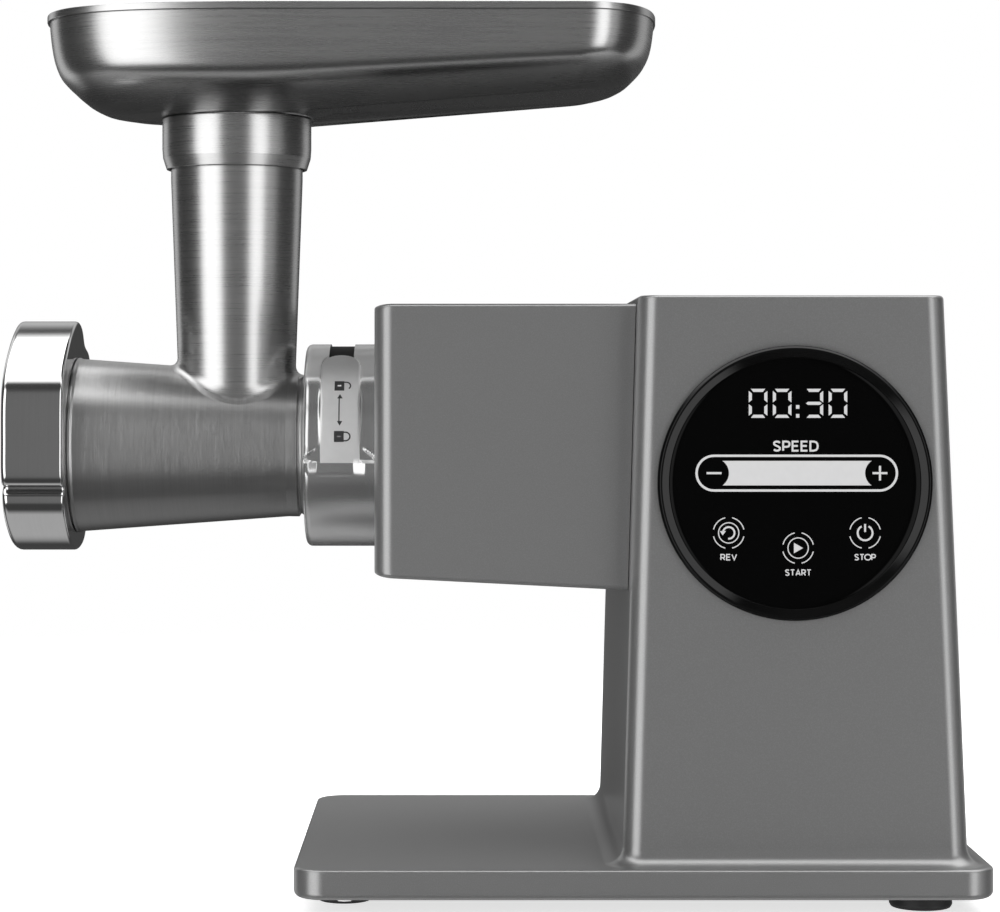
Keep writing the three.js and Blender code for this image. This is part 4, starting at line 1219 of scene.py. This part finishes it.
def speed_slider():
    level, left, right = SLIDER["level"], SLIDER["minus"], SLIDER["plus"]
    pill = arc((PILL["right"], level), PILL["radius"], -90, 90, 20)
    pill += arc((PILL["left"], level), PILL["radius"], 90, 270, 20)
    swing = math.degrees(math.asin(SLIDER["half"] / SLIDER["key"]))
    bar = arc((left, level), SLIDER["key"], swing, -swing, 14)
    bar += arc((right, level), SLIDER["key"], 180 + swing, 180 - swing, 14)
    lines = [[(u - 3.0, level), (u + 3.0, level)] for u in (left, right)]
    lines += [[(right, v - 1.25), (right, v + 1.25)] for v in (level - 1.7, level + 1.7)]
    return [stroke(pill, 0.95, on_panel, closed=True), fill(bar, on_panel),
            *(stroke(line, 0.85, on_panel) for line in lines)]


# %% [markdown]
# Each button is a circle broken into four arcs round an icon: an arrow that turns back, a triangle that
# points on, and an open ring with a stem. The words under them come from the stroke alphabet.

# %% Buttons and words
REVERSE, START, STOP = (-26.9, -20.0), (1.1, -26.1), (28.1, -20.0)
BUTTON = {"outer": 6.25, "inner": 4.1, "fine": 0.42}
# text, centre, height, weight and width
WORDS = [("SPEED", (0.1, 15.0), 3.7, 0.78, 17.8), ("REV", (-26.9, -29.8), 2.2, 0.45, 6.3),
         ("START", (1.1, -36.0), 2.2, 0.45, 10.2), ("STOP", (28.1, -29.8), 2.2, 0.45, 8.3)]


def broken_circle(centre):
    return [stroke(arc(centre, BUTTON["outer"], 90 * k + 13, 90 * k + 77, 14), BUTTON["fine"], on_panel)
            for k in range(4)]


def reverse_icon(u, v, radius=2.35):
    """Three quarters of a circle that ends in an arrow head."""
    head = [(u - radius - 1.2, v + 0.75), (u - radius + 1.25, v + 0.75), (u - radius - 0.1, v - 1.0)]
    return [stroke(arc((u, v), radius, -95, 170, 20), 0.72, on_panel), fill(head, on_panel)]


def start_icon(u, v):
    return [fill([(u - 1.7, v - 2.1), (u - 1.7, v + 2.1), (u + 2.0, v)], on_panel)]


def stop_icon(u, v):
    return [stroke(arc((u, v), 3.0, 118, 422, 28), 0.75, on_panel),
            stroke([(u, v + 0.4), (u, v + 3.6)], 0.75, on_panel)]


def buttons():
    marks = [mark for spot in (REVERSE, START, STOP) for mark in broken_circle(spot)]
    marks += [stroke(arc(spot, BUTTON["inner"], 0, 352.5, 47), BUTTON["fine"], on_panel, closed=True)
              for spot in (REVERSE, START)]
    return marks + reverse_icon(*REVERSE) + start_icon(*START) + stop_icon(*STOP)


labels = [mark for entry in WORDS for mark in word(*entry, on_panel)]
for name, marks in (("display_clock", clock()), ("display_slider", speed_slider()),
                    ("display_buttons", buttons()), ("display_labels", labels)):
    place(name, merged(*marks), "housing", "panel_glass", finish=LIT_PRINT)

# %% [markdown]
# The lock ring's print is wrapped round the pad: an open padlock above, a closed one below and an arrow
# both ways between them. Long marks have many short steps, so that they follow the curve, and the
# keyholes are bright dashes on top of the padlocks.

# %% Pad print
INK = 0.06                       # thickness of the print
OPEN_LOCK, CLOSED_LOCK = 11.2, -12.4
PRINT_CENTRE = 68.0              # degrees from the top


def on_pad(u, v, h):
    """A place on the pad: u along the axis, v up round the ring, h above its surface."""
    angle = PRINT_CENTRE - math.degrees(v / RING["radius"])
    x = PAD["centre"] + u
    return around("x", AXIS, ring_radius(x, angle) + h, x, math.radians(angle))


def padlock(v, is_open):
    body = stroke([(-0.32, v + step) for step in np.linspace(-2.45, 2.45, 9)], 4.15, on_pad, thick=INK)
    bow = [(1.7, v + 1.9)] + arc((2.5, v), 1.9, 90, -50 if is_open else -90, 16)
    if not is_open:
        bow.append((1.7, v - 1.9))
    return [body, stroke(bow, 0.62, on_pad, thick=INK)]


def arrow_head(v, way):
    return fill([(-1.15, v - way * 1.7), (1.15, v - way * 1.7), (0, v + way * 0.4)], on_pad, INK)


def keyhole(v):
    return stroke([(-1.1, v), (0.5, v)], 0.7, lambda u, w, h: on_pad(u, w, h + 0.07), thick=0.03)


arrow = stroke([(-0.3, v) for v in np.linspace(-6, 5.4, 12)], 0.5, on_pad, thick=INK)
place("pad_print", merged(*padlock(OPEN_LOCK, True), *padlock(CLOSED_LOCK, False), arrow, arrow_head(6.6, 1),
                          arrow_head(-7.2, -1)), "lock_ring", "satin_chrome", finish=RING_PRINT)
place("pad_print_keyholes", merged(keyhole(OPEN_LOCK), keyhole(CLOSED_LOCK)), "lock_ring", "satin_chrome")

# %% [markdown]
# ## Feet, rear cover and cord inlet
#
# Soft feet keep the machine from walking. Each is a turned disc that is a little hollow underneath, so
# that it stands on its rim.

# %% Feet
for name in ("foot_head_front", "foot_head_rear", "foot_column_front", "foot_column_rear"):
    at, top = (middle(name).x, middle(name).y), high(name).z
    r = high(name).x - at[0]
    foot = turned([(0, 0.5, 0), (r * 0.55, 0.5, 0.3), (r * 0.6, 0, 0.3), (r - 0.8, 0, 0.8), (r, 1.4, 1.2),
                   (r - 0.5, top, 0.3), (0, top, 0)], "z", at, 72)
    place(name + "_pad", foot, "housing", "soft_rubber", [name])

# %% [markdown]
# The rear cover carries the cooling slots, and behind each slot a slanted louvre keeps crumbs out.
# Round-ended slots, a groove that frames them, and the holes for the screws and the cord inlet are all
# cut from one plate, and the louvres are added as slats.

# %% Rear cover measures
SLOT = {"left": 96, "right": 154, "first": 136, "pitch": 12, "high": 5, "count": 7}
SLOT_FEET = [SLOT["first"] + SLOT["pitch"] * k for k in range(SLOT["count"])]
GROOVE = {"aside": 7, "bottom": 129, "top": 220, "wide": 1.6, "deep": 0.6}
GLAND = (middle("cord_gland").x, middle("cord_gland").z)
GLAND_HOLE, SCREW_HOLE = 7.3, 1.8
REAR_SCREWS = [f"rear_cover_screw_{k}" for k in range(1, 5)]
print("cooling slots at z", SLOT_FEET)


# %% Rear cover
def groove_outline(inset, corner):
    return rounded_rectangle(SLOT["left"] - GROOVE["aside"] + inset, SLOT["right"] + GROOVE["aside"] - inset,
                             GROOVE["bottom"] + inset, GROOVE["top"] - inset, corner)


def rear_plate():
    inner, outer, rim = REAR_LOW.y, REAR_HIGH.y, 0.7
    through = (inner - 1, outer + 1)
    rows = []
    for y, inset in ((inner, 0), (outer - rim, 0), (outer - rim * 0.3, rim * 0.3), (outer, rim)):
        outline = rounded_rectangle(REAR_LOW.x + inset, REAR_HIGH.x - inset, REAR_LOW.z + inset,
                                    REAR_HIGH.z - inset, REAR_WALL["corner"] - inset)
        rows.append([(x, y, z) for x, z in outline])
    tools = [prism("y", rounded_rectangle(SLOT["left"], SLOT["right"], z, z + SLOT["high"],
                                          SLOT["high"] / 2 - 0.01), *through) for z in SLOT_FEET]
    tools.append(bore("y", GLAND, GLAND_HOLE, *through, 64))
    tools += [bore("y", (middle(name).x, middle(name).z), SCREW_HOLE, *through, 32) for name in REAR_SCREWS]
    groove = prism("y", groove_outline(0, 5), outer - GROOVE["deep"], outer + 1)
    island = prism("y", groove_outline(GROOVE["wide"], 4), outer - 3, outer + 3)
    return cut(skin(rows), *tools, cut(groove, island))


def louvres():
    back = REAR_LOW.y
    return merged(*(prism("x", [(back - 3.2, z - 1.5), (back - 2.4, z - 2.2), (back - 0.05, z + 4.4),
                                (back - 0.05, z + 6.0), (back - 0.9, z + 6.0)],
                          SLOT["left"] - 1, SLOT["right"] + 1) for z in SLOT_FEET))


place("rear_cover_plate", rear_plate(), "housing", "dark_plastic", ["rear_cover"])
place("rear_cover_louvres", louvres(), "housing", "dark_plastic")


# %% [markdown]
# Screws are turned heads with a cross recess. The four on the back are seen, so they are made whole.

# %% Rear screws
CROSS = {"long": 1.7, "wide": 0.35, "deep": 1.1}


def cross_screw(name):
    x, z = at = (middle(name).x, middle(name).z)
    seat, top = REAR_HIGH.y + 0.3, high(name).y
    body = turned([(0, seat - 5, 0), (1.5, seat - 5, 0.2), (1.5, seat, 0), (3.0, seat, 0.2),
                   (3.0, seat + 0.5, 0.9), (2.0, top, 1.2), (0, top, 0)], "y", at, 48)
    bars = [prism("y", rounded_rectangle(x - a, x + a, z - b, z + b, 0.2, 2), top - CROSS["deep"], top + 1)
            for a, b in ((CROSS["long"], CROSS["wide"]), (CROSS["wide"], CROSS["long"]))]
    return cut(body, join(*bars))


for name in REAR_SCREWS:
    place(name + "_cross", cross_screw(name), "housing", "machined_steel", [name])


# %% [markdown]
# The cord enters through a rubber bush. A groove holds it in the plate, and three ribs, each a little
# narrower than the one before, let it bend.

# %% Cord inlet
INLET = {"bore": 3.6, "collar": 9.5, "neck": 7, "flange": 97.8, "first_rib": 99.2, "pitch": 1.4,
         "taper": 0.35}


def cord_inlet():
    inner, outer, hole = low("cord_gland").y, high("cord_gland").y, INLET["bore"]
    profile = [(hole, inner, 0.3), (INLET["collar"], inner, 0.5), (INLET["collar"], inner + 4, 0.3),
               (INLET["neck"], inner + 4, 0.2), (INLET["neck"], INLET["flange"], 0.1),
               (8.6, INLET["flange"], 0.4)]
    for rib in range(3):
        y, less = INLET["first_rib"] + INLET["pitch"] * rib, INLET["taper"] * rib
        profile += [(8.5 - less, y, 0.15), (7.8 - less, y + 0.35, 0.15), (7.8 - less, y + 0.85, 0.15),
                    (8.3 - less, y + 1.2, 0.15)]
    return turned(profile + [(7.2, outer, 0.5), (hole, outer, 0.5)], "y", GLAND, 72)


place("cord_inlet_bush", cord_inlet(), "housing", "soft_rubber", ["cord_gland"])

# %% [markdown]
# ## What turns inside the head
#
# The auger's flight is a helix round a core. Each section across it has the same outline, turned a
# little further than the last. A square for the knife and a pin for the plate are joined to its front.

# %% Auger
AUGER_LOW, AUGER_HIGH = low("auger_screw"), high("auger_screw")
AUGER = {"core": 12.0, "tip": 26.6, "pitch": 31.0, "front": -178.0, "square": 4.6, "square_end": -188,
         "pin": 4, "socket": 6.3, "socket_start": -86}


def auger_outline(count=72):
    """Radius at each angle across the auger: the core, with one flight that rises from it."""
    core, rise = AUGER["core"], AUGER["tip"] - AUGER["core"]
    angles = [2 * math.pi * j / count for j in range(count)]
    leans = [abs(math.degrees(math.remainder(angle, 2 * math.pi))) for angle in angles]
    return [(angle, core + rise * (1 - ease(lean, 9, 23))) for angle, lean in zip(angles, leans)]


def square_bar(half, corner, start, end):
    return prism("x", rounded_rectangle(-half, half, AXIS_Z - half, AXIS_Z + half, corner, 3), start, end)


def auger(steps=150):
    front, back = AUGER["front"], AUGER_HIGH.x
    rows = []
    for k in range(steps + 1):
        x = front + (back - front) * k / steps
        twist = 2 * math.pi * (x - front) / AUGER["pitch"]
        rows.append([(x, radius * math.cos(angle + twist), AXIS_Z + radius * math.sin(angle + twist))
                     for angle, radius in auger_outline()])
    square = square_bar(AUGER["square"], 0.5, AUGER["square_end"], front + 1)
    pin = turned([(0, AUGER_LOW.x, 0), (AUGER["pin"], AUGER_LOW.x, 0.8), (AUGER["pin"], -181, 0),
                  (0, -181, 0)], "x", AXIS, 48)
    socket = bore("x", AXIS, AUGER["socket"], AUGER["socket_start"], back + 1, 64)
    return cut(join(skin(rows), square, pin), socket)


place("auger_casting", auger(), "auger", "cast_steel", ["auger_screw"], angle=45)


# %% [markdown]
# The knife is a cross of four blades, ground flat towards the plate and eased on its far side. One
# blade's corners are repeated at each quarter turn, and a square hole fits the auger.

# %% Knife
# angle and radius of one blade's corners, and how far each is rounded
BLADE = [(-52, 9, 2), (-26, 12, 4), (-14, 26.4, 0.6), (10, 26.4, 0.6), (24, 10, 3)]


def knife():
    front, back = low("knife_blade").x, high("knife_blade").x
    corners = [(math.radians(90 * blade + angle), radius) for blade in range(4) for angle, radius, _ in BLADE]
    outline = soften([(radius * math.cos(turn), radius * math.sin(turn)) for turn, radius in corners],
                     [soft for *_, soft in BLADE] * 4, 4)
    levels = ((front, 0.995), (front + 0.2, 1), (back - 1.2, 1), (back - 0.3, 0.985), (back, 0.96))
    rows = [[(x, y * scale, AXIS_Z + z * scale) for y, z in outline] for x, scale in levels]
    return cut(skin(rows), square_bar(4.9, 0.4, front - 1, back + 1))


place("knife_cross", knife(), "auger", "machined_steel", ["knife_blade"])


# %% [markdown]
# The plate is a turned disc with two rings of holes. Each hole is chamfered on the outer face, which
# shows through the nut.

# %% Grinding plate
HOLE_RINGS = [(12.5, 8), (23, 16)]         # radius of each ring, and its number of holes
HOLE = {"mouth": 4.2, "radius": 3.2, "chamfer": 0.35, "centre": 4.5}


def plate():
    front, back = low("grinding_plate").x, high("grinding_plate").x
    r = high("grinding_plate").z - AXIS_Z
    disc = turned([(0, front, 0), (r, front, 0.7), (r, back, 0.7), (0, back, 0)], "x", AXIS, 128)
    holes = [bore("x", AXIS, HOLE["centre"], front - 1, back + 1, 48)]
    profile = [(0, front - 1), (HOLE["mouth"], front - 1), (HOLE["radius"], front + HOLE["chamfer"]),
               (HOLE["radius"], back + 1), (0, back + 1)]
    for radius, count in HOLE_RINGS:
        for turn in (2 * math.pi * k / count for k in range(count)):
            at = (radius * math.cos(turn), AXIS_Z + radius * math.sin(turn))
            holes.append(lathe(profile, "x", at, 28))
    return cut(disc, *holes)


place("grinding_plate_disc", plate(), "head", "machined_steel", ["grinding_plate"])

# %% [markdown]
# ## The pieces that keep their own shape
#
# Gears, shafts, motor, boards and screws are right as they are. Each gets the finish that its slot in
# the record names. Their meshes aren't touched: on the simpler ones a modifier rounds the edges a
# little, and on all of them a small geometry node group shades curved faces smooth and leaves true
# edges sharp.

# %% Smooth shading as a modifier
def shade_by_angle(angle):
    tree = bpy.data.node_groups.new("shade_by_angle", "GeometryNodeTree")
    for way in ("INPUT", "OUTPUT"):
        tree.interface.new_socket("Geometry", in_out=way, socket_type="NodeSocketGeometry")
    start, end = tree.nodes.new("NodeGroupInput"), tree.nodes.new("NodeGroupOutput")
    faces, edges = (tree.nodes.new("GeometryNodeSetShadeSmooth") for _ in range(2))
    faces.domain, edges.domain = "FACE", "EDGE"
    between = tree.nodes.new("GeometryNodeInputMeshEdgeAngle")
    gentle = tree.nodes.new("FunctionNodeCompare")
    gentle.data_type, gentle.operation = "FLOAT", "LESS_THAN"
    gentle.inputs["B"].default_value = math.radians(angle)
    tree.links.new(start.outputs["Geometry"], faces.inputs["Geometry"])
    tree.links.new(faces.outputs["Geometry"], edges.inputs["Geometry"])
    tree.links.new(between.outputs["Unsigned Angle"], gentle.inputs["A"])
    tree.links.new(gentle.outputs["Result"], edges.inputs["Shade Smooth"])
    tree.links.new(edges.outputs["Geometry"], end.inputs["Geometry"])
    return tree


# %% Finishes for the model's own nodes
SLOTS = {part["node"]: part["material_slot"] for part in frame["record"]["subparts"]}
SHADING = shade_by_angle(32)
BEVEL = {"width": 0.25, "most_faces": 1500, "angle": 40}
kept = [name for name, item in frame["nodes"].items() if not item.hide_render]
for name in kept:
    item = frame["nodes"][name]
    for held in item.material_slots:
        held.link = "OBJECT"
        held.material = FINISHES[SLOTS[name]].material
    if len(item.data.polygons) < BEVEL["most_faces"]:
        rounded = item.modifiers.new("rounded_edges", "BEVEL")
        rounded.width, rounded.segments = BEVEL["width"] * MM, 2
        rounded.limit_method, rounded.angle_limit = "ANGLE", math.radians(BEVEL["angle"])
    item.modifiers.new("shading", "NODES").node_group = SHADING
bare = [name for name in kept if not frame["nodes"][name].material_slots]
print(len(kept), "nodes keep their own shape,", len(bare), "of them without a material slot")

# %% [markdown]
# ## The studio
#
# Steel shows the room, so the room is the light. It is drawn in the world's own shader, as patches of
# direction with soft edges: endless, smooth, and below the horizon too. Real lamps would need a room
# round them to keep the steel from turning black. First come the directions, as angles in degrees.

# %% Directions of the world
world = bpy.data.worlds.new("studio")
world.use_nodes = True
bpy.context.scene.world = world
sky = Finish("studio", world.node_tree)
direction = sky.node("ShaderNodeTexCoord", output="Generated")
parts = sky.node("ShaderNodeSeparateXYZ", {}, [direction])
across, forward, upward = (Value(sky, parts.socket.node.outputs[k]) for k in range(3))
nearer = forward * -1.0


def degrees(operation, *values):
    return sky.node("ShaderNodeMath", {"operation": operation}, values) * (180 / math.pi)


FRONT = degrees("ARCTAN2", across, nearer)             # round the machine, 0 at the camera
BACK = degrees("ARCTAN2", across, forward)             # round the machine, 0 behind it
HEIGHT = degrees("ARCSINE", upward)                    # 0 at the horizon, 90 overhead
OVER = degrees("ARCTAN2", upward, nearer)              # from the camera up over the machine
UNDER = degrees("ARCTAN2", upward * -1.0, nearer)      # from the camera down under it
print("five directions in degrees")


# %% [markdown]
# Two tall soft boxes stand to the left and right of the camera and light the near side. A wide one
# overhead draws the bright line along every rounded top, and a dim one below keeps the undersides
# readable. The rest is fill: two boxes and a patch for the back, a faint one far to the right and one
# round the camera. The camera itself sees plain white behind the machine.

# %% World light
def patch(angle, centre, half, soft):
    """1 within half of an angle, falling to 0 over a soft edge."""
    away = sky.node("ShaderNodeMath", {"operation": "ABSOLUTE"}, [angle - centre])
    return sky.ramp(away, half + soft, half - soft)


# direction, its centre, half width and edge, then height, half height and edge, and strength
LAMPS = {
    "key_left": (FRONT, -43, 20, 3, 4, 38, 6, 2.15),
    "key_right": (FRONT, 40, 13, 3, 4, 38, 6, 2.05),
    "overhead": (OVER, 98, 30, 8, 90, 46, 12, 2.7),
    "floor_bounce": (UNDER, 112, 36, 10, -90, 46, 12, 0.43),
    "back_left": (BACK, -40, 11, 3, 8, 36, 6, 0.7),
    "back_right": (BACK, 40, 11, 3, 8, 36, 6, 0.5),
    "back_fill": (BACK, 0, 30, 14, 26, 12, 8, 0.5),
    "far_right": (FRONT, 67, 10, 8, 4, 38, 6, 0.45),
    "camera_fill": (FRONT, 0, 16, 10, 0, 40, 8, 0.13),
}
AMBIENT = 0.06
light = sum((patch(way, centre, half, soft) * patch(HEIGHT, height, reach, edge) * power
             for way, centre, half, soft, height, reach, edge, power in LAMPS.values()), AMBIENT)
seen = sky.node("ShaderNodeLightPath", output="Is Camera Ray")
strength = light * (1 - seen) + seen
backdrop = world.node_tree.nodes["Background"]
sky.put(backdrop.inputs["Strength"], strength)
backdrop.inputs["Color"].default_value = (1, 1, 1, 1)
bpy.context.scene.view_settings.view_transform = "Standard"
print("studio lit by", ", ".join(LAMPS))


# %% [markdown]
# The floor is a pale disc that fades out towards its rim, so that no horizon line shows behind.
# It takes the soft shadow under the feet, and a little light of its own keeps it as pale as the
# backdrop. Glossy rays pass it by and see the studio's own lower half instead.

# %% Floor
FLOOR_RINGS = [0, 150, 300, 450, 600, 800, 1000, 1300, 1600]
FLOOR_X, FLOOR_Z = 40, -0.1


def floor_disc(segments=96):
    turns = [2 * math.pi * k / segments for k in range(segments)]
    rows = [[(FLOOR_X + r * math.cos(a), r * math.sin(a), FLOOR_Z) for a in turns] for r in FLOOR_RINGS]
    return skin(rows, caps=False)


floor = bpy.data.objects.new("studio_floor", floor_disc())
bpy.context.scene.collection.objects.link(floor)
cove = Finish("pale_floor")
spot = cove.node("ShaderNodeTexCoord", output="Object")
distance = cove.node("ShaderNodeVectorMath", {"operation": "LENGTH"}, [spot], output=1)
fade = cove.ramp(distance, 0.35, 1.3, first=1.0, last=0.0)
cove.set(Base_Color=grey(0.8), Roughness=0.9, Alpha=fade, Specular_IOR_Level=0.0,
         Emission_Color=grey(1.0), Emission_Strength=0.7)
floor.data.materials.append(cove.material)
floor.visible_glossy = False
